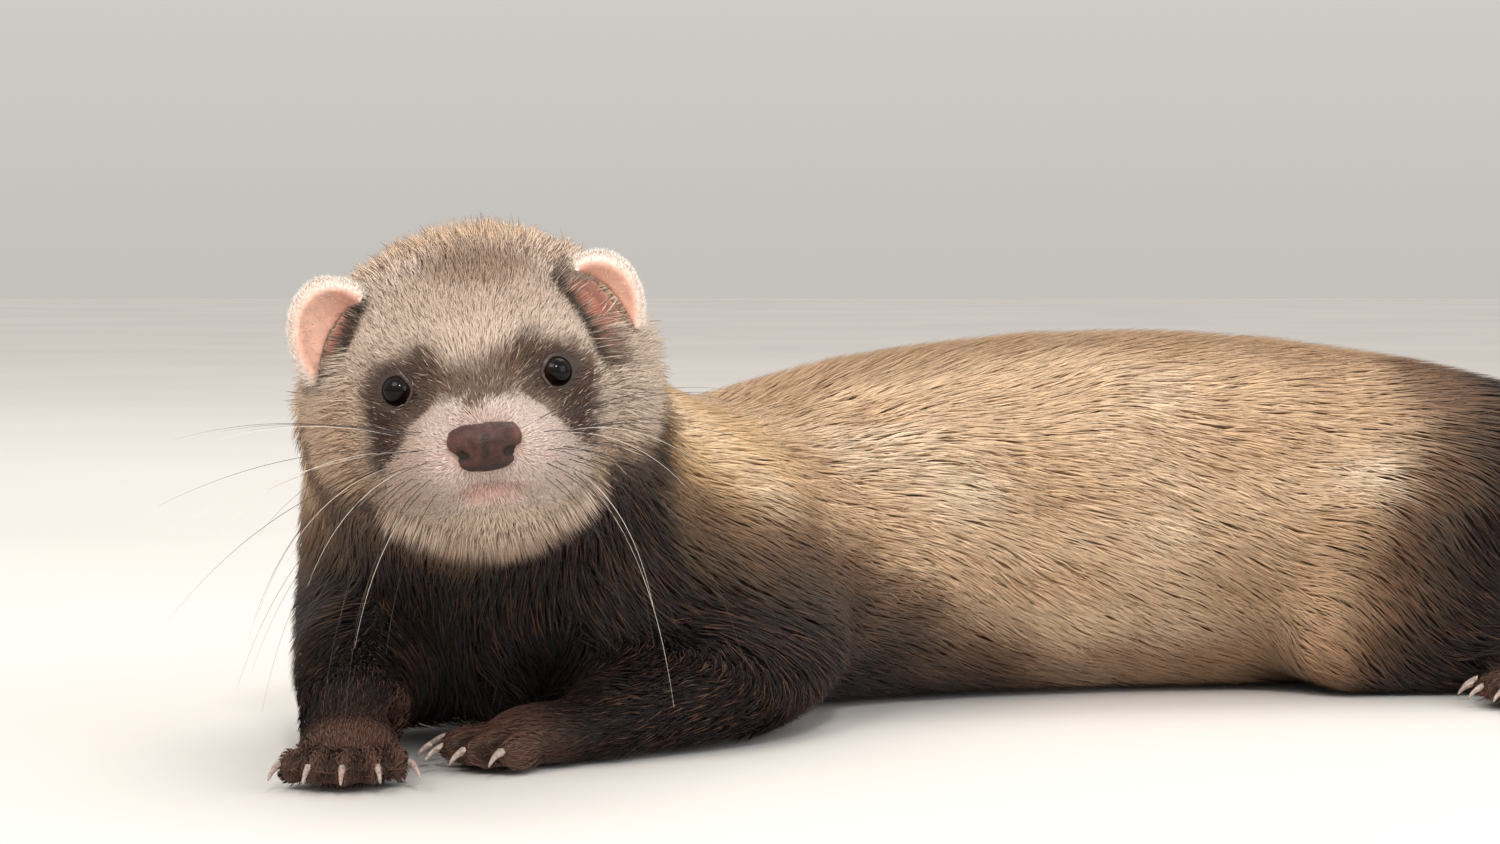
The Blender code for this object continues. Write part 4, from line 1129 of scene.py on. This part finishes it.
def claw_material():
    """Horn: pale greyish brown, mottled lighter and darker, with fine lines."""
    made, tree = new_material("claw_horn")
    where = add(tree, "ShaderNodeTexCoord", (-1100, -300)).outputs["Object"]
    # growth lines about 0.7 mm apart
    lines = add(tree, "ShaderNodeTexNoise", (-700, -300),
                {"Vector": where, "Scale": 1500.0, "Detail": 3.0, "Distortion": 0.4})
    stops = [(0.3, "816B60"), (0.7, "B3A297")]
    colour = add(tree, "ShaderNodeValToRGB", (-300, 0), {"Fac": lines.outputs["Fac"]}, stops)
    bump = add(tree, "ShaderNodeBump", (-100, -300),
               {"Height": lines.outputs["Fac"], "Strength": 0.3, "Distance": 0.0001})
    shader = add(tree, "ShaderNodeBsdfPrincipled", (300, 0),
                 {"Base Color": colour.outputs["Color"], "Roughness": 0.34,
                  "Normal": bump.outputs["Normal"]})
    add(tree, "ShaderNodeOutputMaterial", (900, 0), {"Surface": shader.outputs[0]})
    return made


def whisker_material():
    """Stiff whiskers: dark at the root and pale towards the tip, smooth and shiny."""
    made, tree = new_material("whisker")
    along = add(tree, "ShaderNodeAttribute", (-900, 0), attribute_name="along").outputs["Fac"]
    chance = add(tree, "ShaderNodeAttribute", (-900, -300), attribute_name="chance").outputs["Fac"]
    dark = add(tree, "ShaderNodeValToRGB", (-500, 100), {"Fac": along},
               [(0.0, "1C1410"), (0.6, "352821"), (1.0, "6E5C50")])
    pale = add(tree, "ShaderNodeValToRGB", (-500, -200), {"Fac": along},
               [(0.0, "6A5548"), (0.35, "D9CCBE"), (1.0, "F2EAE0")])
    pick = add(tree, "ShaderNodeMath", (-500, -450), {0: chance, 1: 0.62},
               operation="GREATER_THAN")
    tone = add(tree, "ShaderNodeMix", (-100, 0),
               {"Factor": pick.outputs[0], "A": dark.outputs["Color"],
                "B": pale.outputs["Color"]}, data_type="RGBA")
    shader = add(tree, "ShaderNodeBsdfPrincipled", (300, 0),
                 {"Base Color": tone.outputs["Result"], "Roughness": 0.3})
    add(tree, "ShaderNodeOutputMaterial", (900, 0), {"Surface": shader.outputs[0]})
    return made


def floor_material():
    """A plain pale matt floor with a trace of unevenness."""
    made, tree = new_material("floor")
    where = add(tree, "ShaderNodeTexCoord", (-900, 0)).outputs["Object"]
    # faint clouds about a third of a metre wide
    cloud = add(tree, "ShaderNodeTexNoise", (-600, 0), {"Vector": where, "Scale": 3.0})
    stops = [(0.3, "D3CFCB"), (0.7, "DAD6D2")]
    colour = add(tree, "ShaderNodeValToRGB", (-300, 0), {"Fac": cloud.outputs["Fac"]}, stops)
    shader = add(tree, "ShaderNodeBsdfPrincipled", (300, 0),
                 {"Base Color": colour.outputs["Color"], "Roughness": 0.8})
    add(tree, "ShaderNodeOutputMaterial", (900, 0), {"Surface": shader.outputs[0]})
    return made


def placed(obj, material, nodes=()):
    """Gives the piece its finish, lets it ride with the animal and hides the solids it stands for.
    """
    obj.data.materials.clear()
    obj.data.materials.append(material)
    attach(obj, BODY)
    if nodes:
        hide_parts(*nodes)
    return obj


EYE_OUT = math.radians(30)  # how far each eye looks outwards
EYE_RADIUS = 3.25 * MM
CORNEA = 0.22 * MM  # how far the clear front bulges


def gaze(side):
    return (FACE_TURN @ Matrix.Rotation(side * EYE_OUT, 4, "Z")).to_3x3() @ Vector((0, -1, 0))


def build_eye(side, material):
    """A ball whose clear front bulges a little."""
    name = SIDES[side]
    middle = np.array(box_middle("eye_" + name))
    shell = bmesh.new()
    bmesh.ops.create_uvsphere(shell, u_segments=64, v_segments=40, radius=1.0)
    mesh = bpy.data.meshes.new("eyeball_" + name)
    shell.to_mesh(mesh)
    shell.free()
    aim = np.array(gaze(side))
    turned = Vector((0, 0, 1)).rotation_difference(Vector(aim)).to_matrix()
    ways = unit(positions(mesh) @ np.array(turned).T)
    facing = ways @ aim
    radius = EYE_RADIUS + CORNEA * ramp(facing, 0.45, 1.0)
    moved(mesh, middle + ways * radius[:, None])
    smooth_shaded(mesh)
    set_values(mesh, "facing", "FLOAT", facing * 0.5 + 0.5)
    return placed(linked("eyeball_" + name, mesh), material, ["eye_" + name])


LID_AROUND = 56  # corners round the eye, and round the rim itself
LID_ACROSS = 14
LID_WIDE = 2.92  # half the opening's width and height, in mm
LID_TALL = 3.12
LID_INNER = 0.42  # how far the opening runs out to its corners, near the nose and away from it
LID_OUTER = 0.22
LID_THICK = 0.40


def build_lids(side, material):
    """The bare rim round the eye, drawn out into its two corners."""
    name = SIDES[side]
    middle = np.array(box_middle("eye_" + name))
    aim = np.array(gaze(side))
    across = unit(np.cross(UP, aim)[None])[0]  # towards the nose on the left eye
    up = np.cross(aim, across)
    points = np.empty((LID_AROUND, LID_ACROSS, 3))
    for i in range(LID_AROUND):
        angle = 2 * math.pi * i / LID_AROUND
        c, s = math.cos(angle), math.sin(angle)
        corner = max(0.0, c * side) ** 6 * LID_INNER + max(0.0, -c * side) ** 6 * LID_OUTER
        out = across * c * ((LID_WIDE + corner) * MM) + up * s * (LID_TALL * MM)
        reach = np.linalg.norm(out)
        outward = out / reach
        ahead = math.sqrt(max((EYE_RADIUS + 0.08 * MM) ** 2 - min(reach, 3.16 * MM) ** 2, 0.0))
        centre = middle + out + aim * ahead
        thick = (LID_THICK + 0.12 * max(0.0, s)) * MM
        for j in range(LID_ACROSS):
            turn = 2 * math.pi * j / LID_ACROSS
            points[i, j] = (centre + outward * math.cos(turn) * thick
                            + aim * math.sin(turn) * thick * 0.8)
    faces = []
    for i in range(LID_AROUND):
        for j in range(LID_ACROSS):
            a = i * LID_ACROSS + j
            b = i * LID_ACROSS + (j + 1) % LID_ACROSS
            c = (i + 1) % LID_AROUND * LID_ACROSS + (j + 1) % LID_ACROSS
            d = (i + 1) % LID_AROUND * LID_ACROSS + j
            faces.append((a, b, c, d))
    mesh = bpy.data.meshes.new("lids_" + name)
    mesh.from_pydata(points.reshape(-1, 3).tolist(), [], faces)
    mesh.update()
    outward_faces(mesh)
    smooth_shaded(mesh)
    return placed(linked("lids_" + name, mesh), material)


def outward_faces(mesh):
    shell = bmesh.new()
    shell.from_mesh(mesh)
    bmesh.ops.recalc_face_normals(shell, faces=shell.faces)
    shell.to_mesh(mesh)
    shell.free()


def finer(name, nodes, voxel, rounds):
    """A node's own shape, finer and rounded."""
    obj = remeshed(copy_of(name, nodes), voxel)
    near = Neighbours(obj.data)
    points = positions(obj.data)
    for _ in range(rounds):
        points = near.smoothed(points, 1, 0.6)
        points = near.smoothed(points, 1, -0.45)
    moved(obj.data, points)
    smooth_shaded(obj.data)
    return obj


NOSE_WIDER = 0.13
NOSE_VOXEL = 0.28 * MM
EAR_VOXEL = 0.42 * MM
EAR_STEPS = 48  # directions in which the flap's own reach is read


def build_nose(material):
    """The nose pad, pinker at its rims, with painted shade below, in the groove and in the
    nostrils.
    """
    obj = finer("nose_pad", ["nose"], NOSE_VOXEL, 6)
    mesh = obj.data
    points = positions(mesh)
    face = on_face(points)
    moved(mesh, points + ACROSS * (face[:, :1] * NOSE_WIDER * MM))
    x = np.abs(face[:, 0])
    rim = ramp(x, 4.0, 5.8) * ramp(face[:, 2], -15, -12)
    # painted shade on the underside, in the middle groove and in the nostrils
    low = ramp(-face[:, 2], 13.6, 15.2)
    groove = ramp(-x, -0.9, -0.2) * ramp(-face[:, 2], 8, 11)
    hole = np.hypot((x - 3.8) / 1.25, (face[:, 2] + 12.4) / 0.95)
    colour = painted(plain("41261F", face), ("60392F", rim, 0.8), ("22140F", low, 0.9),
                     ("261713", groove, 0.8), ("1C100D", ramp(-hole, -1.25, -0.75), 1.0))
    set_values(mesh, "tone", "FLOAT_COLOR", with_alpha(colour))
    return placed(obj, material, ["nose"])


def build_ear(side, material, hair):
    """The ear flap: pink in the cup, cream on the rim and the back, with short soft hair."""
    name = SIDES[side]
    obj = finer("earflap_" + name, ["ear_" + name], EAR_VOXEL, 8)
    mesh = obj.data
    points = positions(mesh)
    near = Neighbours(mesh)
    normals = unit(near.smoothed(normals_of(mesh), 3))
    face_normals = normals @ np.array(TURN)
    face = on_face(points)
    middle = (face.min(0) + face.max(0)) / 2 + np.array([-side * 3.0, 0.0, -3.0])
    offset = (face - middle)[:, [0, 2]] * np.array([side, 1.0])
    angle = np.arctan2(offset[:, 1], offset[:, 0])
    reach = np.hypot(offset[:, 0], offset[:, 1])
    turns = np.linspace(-math.pi, math.pi, EAR_STEPS + 1)
    slot = np.clip(np.digitize(angle, turns) - 1, 0, EAR_STEPS - 1)
    furthest = np.array(
        [reach[slot == i].max() if (slot == i).any() else 1.0 for i in range(EAR_STEPS)])
    furthest = (furthest + np.roll(furthest, 1) + np.roll(furthest, -1)) / 3
    rim = ramp(reach / furthest[slot], 0.80, 0.95) * ramp(offset[:, 0] + offset[:, 1] * 0.6, -3, 2)
    inside = ramp(-face_normals[:, 1], 0.0, 0.55) * (1 - rim)
    low, high = face.min(0), face.max(0)
    height = (face[:, 2] - low[2]) / (high[2] - low[2])
    colour = plain("E9D8CB", face)
    deep = ramp(-offset[:, 0], -5.5, 1.5)[:, None]
    pink = shade("DEAB93") * (1 - deep) + shade("BE7A62") * deep
    pink = painted(pink, ("EBCFC0", height, 0.3))
    colour += (pink - colour) * inside[:, None]
    set_values(mesh, "tone", "FLOAT_COLOR", with_alpha(colour))
    unwrap(obj)
    ones = np.ones(len(points))
    fields = {
        "normals": normals,
        "lie": ACROSS * side * offset[:, :1] + UP * (offset[:, 1:] + 3.0),
        "length": 1.3 + 0.9 * (1 - inside), "width": 0.10 * ones, "depth": 0.20 * ones,
        "rise": ones, "number": 3.0 + 4.0 * (1 - inside),
        "marks": {
            "tip": colour + (shade("F6ECE2") - colour) * 0.75,
            # painted shade: the roots a little darker than the tips
            "root": colour * 0.92, "guard": plain("C9B09A", face),
            "share": 0.08 * ones,
        },
    }
    rng = np.random.default_rng(SEED + 5 + side)
    keep = 0.35 + 0.65 * (1 - inside)
    roots = Roots(mesh, fields, keep, fields["number"], rng)
    placed(grow("ear_hair_" + name, None, roots, rng, "on the ears"), hair)
    return placed(obj, material, ["ear_" + name])


def fringe(name, kind, skin, fields, where, lie, sizes, hair, marks=None):
    """Hair that stands free of the coat, with its own length, width and number."""
    ones = np.ones(len(where))
    own = dict(fields)
    length, width, number = sizes
    own.update(lie=lie, length=length * ones, width=width * ones, number=number * ones,
               depth=ones, rise=ones)
    if marks:
        own["marks"] = marks
    rng = np.random.default_rng(SEED + len(name) * 7)
    roots = Roots(skin.data, own, where, own["number"], rng)
    placed(grow(name, None, roots, rng, kind + " fringe"), hair)


def build_fringes(skin, fields, hair):
    """Dark hair over each ear cup, and pale fringes along the jaw and the cheeks."""
    face = fields["face"]
    x, y, z = face.T
    dark = {
        "tip": plain("5B4A40", face),
        # painted shade: the roots darker than the tips
        "root": plain("3B2D26", face),
        "guard": plain("D9C8B4", face), "share": np.full(len(face), 0.14),
    }
    for side in EAR_LINES:
        name = SIDES[side]
        outwards, share = beside(face, side)
        where = ramp(outwards, -1.8, -0.8) * ramp(-outwards, -1.0, 0.0) * ramp(-y, -26, -20)
        lie = ACROSS * side + UP * (0.75 - 1.35 * share)[:, None] - BACK * 0.15
        fringe("ear_tufts_" + name, "ear", skin, fields, where, lie, (3.6, 0.11, 7.0), hair, dark)
        where = ramp(x * side, 20.5, 23.5) * ramp(-z, -12, -6) * ramp(z, -21, -15)
        where *= ramp(y, 3, 8) * ramp(-y, -32, -25)
        lie = ACROSS * side + BACK * 0.45 - UP * (0.20 + 0.03 * np.maximum(-z, 0))[:, None]
        fringe("cheek_fringe_" + name, "cheek", skin, fields, where, lie, (6.2, 0.18, 1.5), hair)
    above = z - edge_at(np.abs(x), JAW_EDGE)
    where = ramp(above, -0.6, 0.8) * ramp(-above, -5.5, -2.0) * ramp(-y, -20, -13)
    where *= ramp(-np.abs(x), -21, -17)
    lie = -UP[None] + ACROSS * (x / 30)[:, None] + BACK * 0.08
    fringe("jaw_fringe", "jaw", skin, fields, where, lie, (5.4, 0.16, 3.2), hair)


def build_claws(material):
    """The claws' own solids, with rounder sides."""
    for node in sorted(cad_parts):
        if not node.startswith("claw_"):
            continue
        obj = copy_of(node.replace("claw_", "nail_"), [node])
        finer_sides = obj.modifiers.new("Rounder", "SUBSURF")
        finer_sides.levels = 1
        finer_sides.render_levels = 1
        applied(obj)
        smooth_shaded(obj.data)
        placed(obj, material, [node])


WHISKER_POINTS = 18
WHISKER_SIDES = 5
WHISKER_WIDTH = 0.15  # mm at the root, and less over the eyes
BROW_WIDTH = 0.09
# Height on the muzzle in mm, how many, how steeply they rise and how strongly they droop
WHISKER_ROWS = ((-7.6, 5, 0.22, 0.45), (-10.2, 6, 0.05, 0.65), (-12.8, 7, -0.12, 0.95),
                (-15.6, 7, -0.35, 1.2), (-18.2, 5, -0.7, 1.3))


def on_front(skin_tree, x, z):
    """The place on the face seen from the front at x and z, and the normal there."""
    ahead = face_place(x, -60.0, z)
    place, normal, _, _ = skin_tree.ray_cast(ahead, face_place(x, 0.0, z) - ahead)
    return place, normal


def whisker_lines(skin_tree, rng):
    """Whiskers in rows on each side of the muzzle, and a few over each eye."""
    lines = []
    for side in SIDES:
        for row, (z, count, steep, hang) in enumerate(WHISKER_ROWS):
            for column in range(count):
                x = side * (9.4 + 1.6 * column + rng.uniform(-0.5, 0.5))
                root, normal = on_front(skin_tree, x, z + rng.uniform(-0.5, 0.5))
                length = (19 + 4.4 * column + 1.2 * row + rng.uniform(-3, 7)) * MM
                rise = steep + rng.uniform(-0.12, 0.12)
                way = Vector((side * 1.0, -0.15 + 0.13 * column, rise))
                droop = hang * rng.uniform(0.5, 1.4)
                pale = rng.random() < (0.17 if length > 30 * MM else 0.08)
                lines.append((root, normal, TURN @ way, length, droop, WHISKER_WIDTH, pale))
        for number in range(3):
            root, normal = on_front(skin_tree, side * (10.5 + 1.6 * number), 6.2 + 0.7 * number)
            way = Vector((side * (-0.35 + 0.42 * number), -0.1, 1.0))
            length = rng.uniform(11, 17) * MM
            lines.append((root, normal, TURN @ way, length, 0.12, BROW_WIDTH, False))
    return lines


def whisker_tree():
    """Sweeps a round, tapering section along each line."""
    tree = bpy.data.node_groups.new("Whiskers", "GeometryNodeTree")
    face = tree.interface
    face.new_socket("Geometry", in_out="INPUT", socket_type="NodeSocketGeometry")
    face.new_socket("Root width", in_out="INPUT", socket_type="NodeSocketFloat")
    face.new_socket("Sides", in_out="INPUT", socket_type="NodeSocketInt")
    face.new_socket("Finish", in_out="INPUT", socket_type="NodeSocketMaterial")
    face.new_socket("Geometry", in_out="OUTPUT", socket_type="NodeSocketGeometry")
    source = add(tree, "NodeGroupInput", (-900, 0))
    curve = add(tree, "GeometryNodeMeshToCurve", (-700, 0), {"Mesh": source.outputs["Geometry"]})
    along = add(tree, "GeometryNodeInputNamedAttribute", (-900, -250), {"Name": "along"},
                data_type="FLOAT")
    thick = add(tree, "GeometryNodeInputNamedAttribute", (-900, -450), {"Name": "thick"},
                data_type="FLOAT")
    taper = add(tree, "ShaderNodeMapRange", (-650, -250),
                {"Value": along.outputs["Attribute"], "To Min": 1.0, "To Max": 0.16})
    sized = add(tree, "ShaderNodeMath", (-450, -250),
                {0: taper.outputs["Result"], 1: thick.outputs["Attribute"]}, operation="MULTIPLY")
    section = add(tree, "GeometryNodeCurvePrimitiveCircle", (-450, 250),
                  {"Resolution": source.outputs["Sides"], "Radius": source.outputs["Root width"]})
    sweep = add(tree, "GeometryNodeCurveToMesh", (-200, 0),
                {"Curve": curve.outputs["Curve"], "Profile Curve": section.outputs["Curve"],
                 "Scale": sized.outputs[0], "Fill Caps": True})
    real = add(tree, "GeometryNodeRealizeInstances", (0, 0), {"Geometry": sweep.outputs["Mesh"]})
    finish = add(tree, "GeometryNodeSetMaterial", (200, 0),
                 {"Geometry": real.outputs["Geometry"], "Material": source.outputs["Finish"]})
    add(tree, "NodeGroupOutput", (400, 0), {"Geometry": finish.outputs["Geometry"]})
    return tree


def build_whiskers(skin_tree, material, rng):
    """Each whisker is a line that bends down as it goes, swept by the node tree."""
    points, edges, along, thick, chance = [], [], [], [], []
    for root, normal, way, length, droop, width, pale in whisker_lines(skin_tree, rng):
        way = (way.normalized() + normal * 0.25).normalized()
        place = root - normal * 0.6 * MM
        draw = 0.8 if pale else 0.2
        base = len(points)
        step = length / (WHISKER_POINTS - 1)
        for i in range(WHISKER_POINTS):
            t = i / (WHISKER_POINTS - 1)
            points.append(place.copy())
            along.append(t)
            thick.append(width / WHISKER_WIDTH)
            chance.append(draw)
            way = (way + Vector((0, 0.02, -droop)) / WHISKER_POINTS * 1.4).normalized()
            place = place + way * step
            place.z = max(place.z, 0.8 * MM)
        edges += [(base + i, base + i + 1) for i in range(WHISKER_POINTS - 1)]
    mesh = bpy.data.meshes.new("whiskers")
    mesh.from_pydata([p[:] for p in points], edges, [])
    set_values(mesh, "along", "FLOAT", np.array(along))
    set_values(mesh, "thick", "FLOAT", np.array(thick))
    set_values(mesh, "chance", "FLOAT", np.array(chance))
    obj = linked("whiskers", mesh)
    tree = whisker_tree()
    sweep = obj.modifiers.new("Sweep", "NODES")
    sweep.node_group = tree
    named = {s.name: s.identifier for s in tree.interface.items_tree if s.in_out == "INPUT"}
    sweep[named["Root width"]] = WHISKER_WIDTH / 2 * MM
    sweep[named["Sides"]] = WHISKER_SIDES
    sweep[named["Finish"]] = material
    applied(obj)
    smooth_shaded(obj.data)
    return placed(obj, material)


def bare_places(fields):
    """0 where no hair grows: on the eyes, nose pad, ear cups and lips."""
    face = fields["face"]
    keep = np.ones(len(face))
    for side in SIDES:
        far = np.hypot(np.hypot(face[:, 0] - side * 14.6, face[:, 2]), 0.55 * (face[:, 1] - 0.5))
        keep *= ramp(far, 3.0, 3.9)
    keep *= ramp(oval(face, (0, 6.7), (-19, 4.5), (-11.5, 4.2)), 0.85, 1.0)
    keep *= 0.45 + 0.55 * ramp(oval(face, (0, 5.0), (-16, 5.0), (-18.6, 1.1)), 0.6, 1.4)
    keep *= 1 - 0.96 * cup_wall(face)
    keep *= ramp(fields["outline"][:, 2], 0.2 * MM, 1.6 * MM)
    return keep


REGIONS = {
    "head": (["head"], "face_coat"),
    "neck": (["neck"], "neck_coat"),
    "chest": (["chest"], "brown_coat"),
    "belly": (["belly"], "pale_coat"),
    "rump": (["rump"], "brown_coat"),
    "tail": (["tail_root", "tail_middle", "tail_tip"], "dark_coat"),
    "legs": ([n for n in FLESH if "leg" in n or "paw" in n], "dark_coat"),
}
MOST_TUFTS = 19000  # in one piece, of ten triangles each


def build_coat(skin, fields, skin_tree, material):
    """The coat, region by region, in pieces that stay small enough."""
    rng = np.random.default_rng(SEED)
    keep = bare_places(fields)
    for region, (nodes, slot) in REGIONS.items():
        mine = np.isin(np.array(FLESH)[fields["parts"]], nodes).astype(float)
        kind = "face" if region == "head" else "body"
        roots = Roots(skin.data, fields, keep * mine, fields["number"], rng)
        pieces = max(1, math.ceil(roots.count / MOST_TUFTS))
        for number in range(pieces):
            name = f"coat_{region}_{number + 1}" if pieces > 1 else f"coat_{region}"
            part = roots.every(pieces, number)
            placed(grow(name, skin_tree, part, rng, kind), material)


def aimed(obj, target):
    way = Vector(target) - obj.location
    obj.rotation_euler = way.to_track_quat("-Z", "Y").to_euler()


def area_light(name, place, size, power, colour, target):
    light = bpy.data.lights.new(name, "AREA")
    light.shape = "RECTANGLE"
    light.size, light.size_y = size
    light.energy = power
    light.color = colour
    obj = linked(name, light)
    obj.location = place
    aimed(obj, target)


HORIZON = "C5C1BD"  # as light as the floor far away
FLOOR_SIZE = 14.0
LOOKED_AT = Vector((0.12, 0.1, 0.03))  # the animal's middle, from the floor point under the face
# Each light's place from there, its size in metres, its power in watts and its colour
LIGHTS = {
    "key": ((-0.9, -1.3, 1.5), (1.1, 0.9), 17.0, (1.0, 0.95, 0.89)),
    "top": ((0.2, 0.5, 1.6), (1.4, 1.0), 12.0, (1.0, 0.97, 0.93)),
    "fill": ((1.5, -1.1, 0.7), (1.2, 1.0), 9.0, (0.93, 0.96, 1.0)),
    "glint": ((0.15, -1.35, 1.1), (0.16, 0.18), 9.0, (1.0, 1.0, 1.0)),
}
CAMERA_PLACE = Vector((0.0484, -0.628, 0.095))  # from the floor point under the face
CAMERA_DOWN = 2.7  # degrees
CAMERA_LENS = 85.0


def build_stage():
    """A plain pale floor, four soft lights and an even sky."""
    bpy.ops.mesh.primitive_plane_add(size=FLOOR_SIZE, location=(0, 0, 0))
    floor = bpy.context.object
    floor.name = "floor"
    floor.data.materials.append(floor_material())
    centre = GROUND + LOOKED_AT
    for name, (place, size, power, colour) in LIGHTS.items():
        area_light(name, centre + Vector(place), size, power, colour, centre)
    world = bpy.data.worlds.new("studio")
    bpy.context.scene.world = world
    world.use_nodes = True
    tree = world.node_tree
    background = tree.nodes["Background"]
    way = add(tree, "ShaderNodeTexCoord", (-900, 0)).outputs["Generated"]
    parts = add(tree, "ShaderNodeSeparateXYZ", (-700, 0), {"Vector": way})
    sky = add(tree, "ShaderNodeValToRGB", (-500, 0), {"Fac": parts.outputs["Z"]},
              [(0.0, HORIZON), (0.12, "D6D3CF"), (0.35, "EDEAE6")])
    tree.links.new(sky.outputs["Color"], background.inputs["Color"])
    background.inputs["Strength"].default_value = 1.0
    bpy.context.scene.view_settings.view_transform = "Standard"


def build_camera():
    """The photo's view: a portrait lens a little over the head's height."""
    lens = bpy.data.cameras.new("camera")
    lens.lens = CAMERA_LENS
    lens.sensor_width = 36.0
    lens.clip_start = 0.01
    lens.clip_end = 50.0
    obj = linked("camera", lens)
    obj.location = GROUND + CAMERA_PLACE
    obj.rotation_euler = (math.radians(90 - CAMERA_DOWN), 0, 0)
    bpy.context.scene.camera = obj


def skin_tones(fields):
    """The skin under the coat: its markings, and bare pink or dark at the lips, cups and lids."""
    tone = fields["marks"]["tip"] * 0.45 + fields["marks"]["root"] * 0.4
    face = fields["face"]
    pink = ramp(-oval(face, (0.6, 7.0), (-16, 6.0), (-18.8, 1.7)), -1.3, -0.5)
    muzzle = ramp(-face[:, 1], -2, 6) * ramp(-face[:, 2], 5, 9) * ramp(face[:, 2], -24, -20)
    tone = painted(tone, ("C39385", pink, 1.0), ("C9A195", muzzle * (1 - pink), 0.7),
                   ("B9735C", cup_wall(face), 1.0))
    for side in SIDES:
        far = np.hypot(np.hypot(face[:, 0] - side * 14.4, face[:, 2]), 0.6 * (face[:, 1] - 0.5))
        tone = painted(tone, ("3A2A25", ramp(-far, -6.0, -4.0), 1.0))
    return tone


def main():
    """The skin first, because the coat, the fringes and the whiskers stand on it."""
    hair = hair_material()
    skin, fields = build_skin()
    unwrap(skin)
    set_values(skin.data, "tone", "FLOAT_COLOR", with_alpha(skin_tones(fields)))
    placed(skin, skin_material(), FLESH)
    skin_tree = BVHTree.FromObject(skin, bpy.context.evaluated_depsgraph_get())
    build_coat(skin, fields, skin_tree, hair)
    build_fringes(skin, fields, hair)
    eye, lid, ear = eye_material(), lid_material(), ear_material()
    for side in SIDES:
        build_eye(side, eye)
        build_lids(side, lid)
        build_ear(side, ear, hair)
    build_nose(nose_material())
    build_claws(claw_material())
    build_whiskers(skin_tree, whisker_material(), np.random.default_rng(SEED + 1))
    build_stage()
    build_camera()


main()
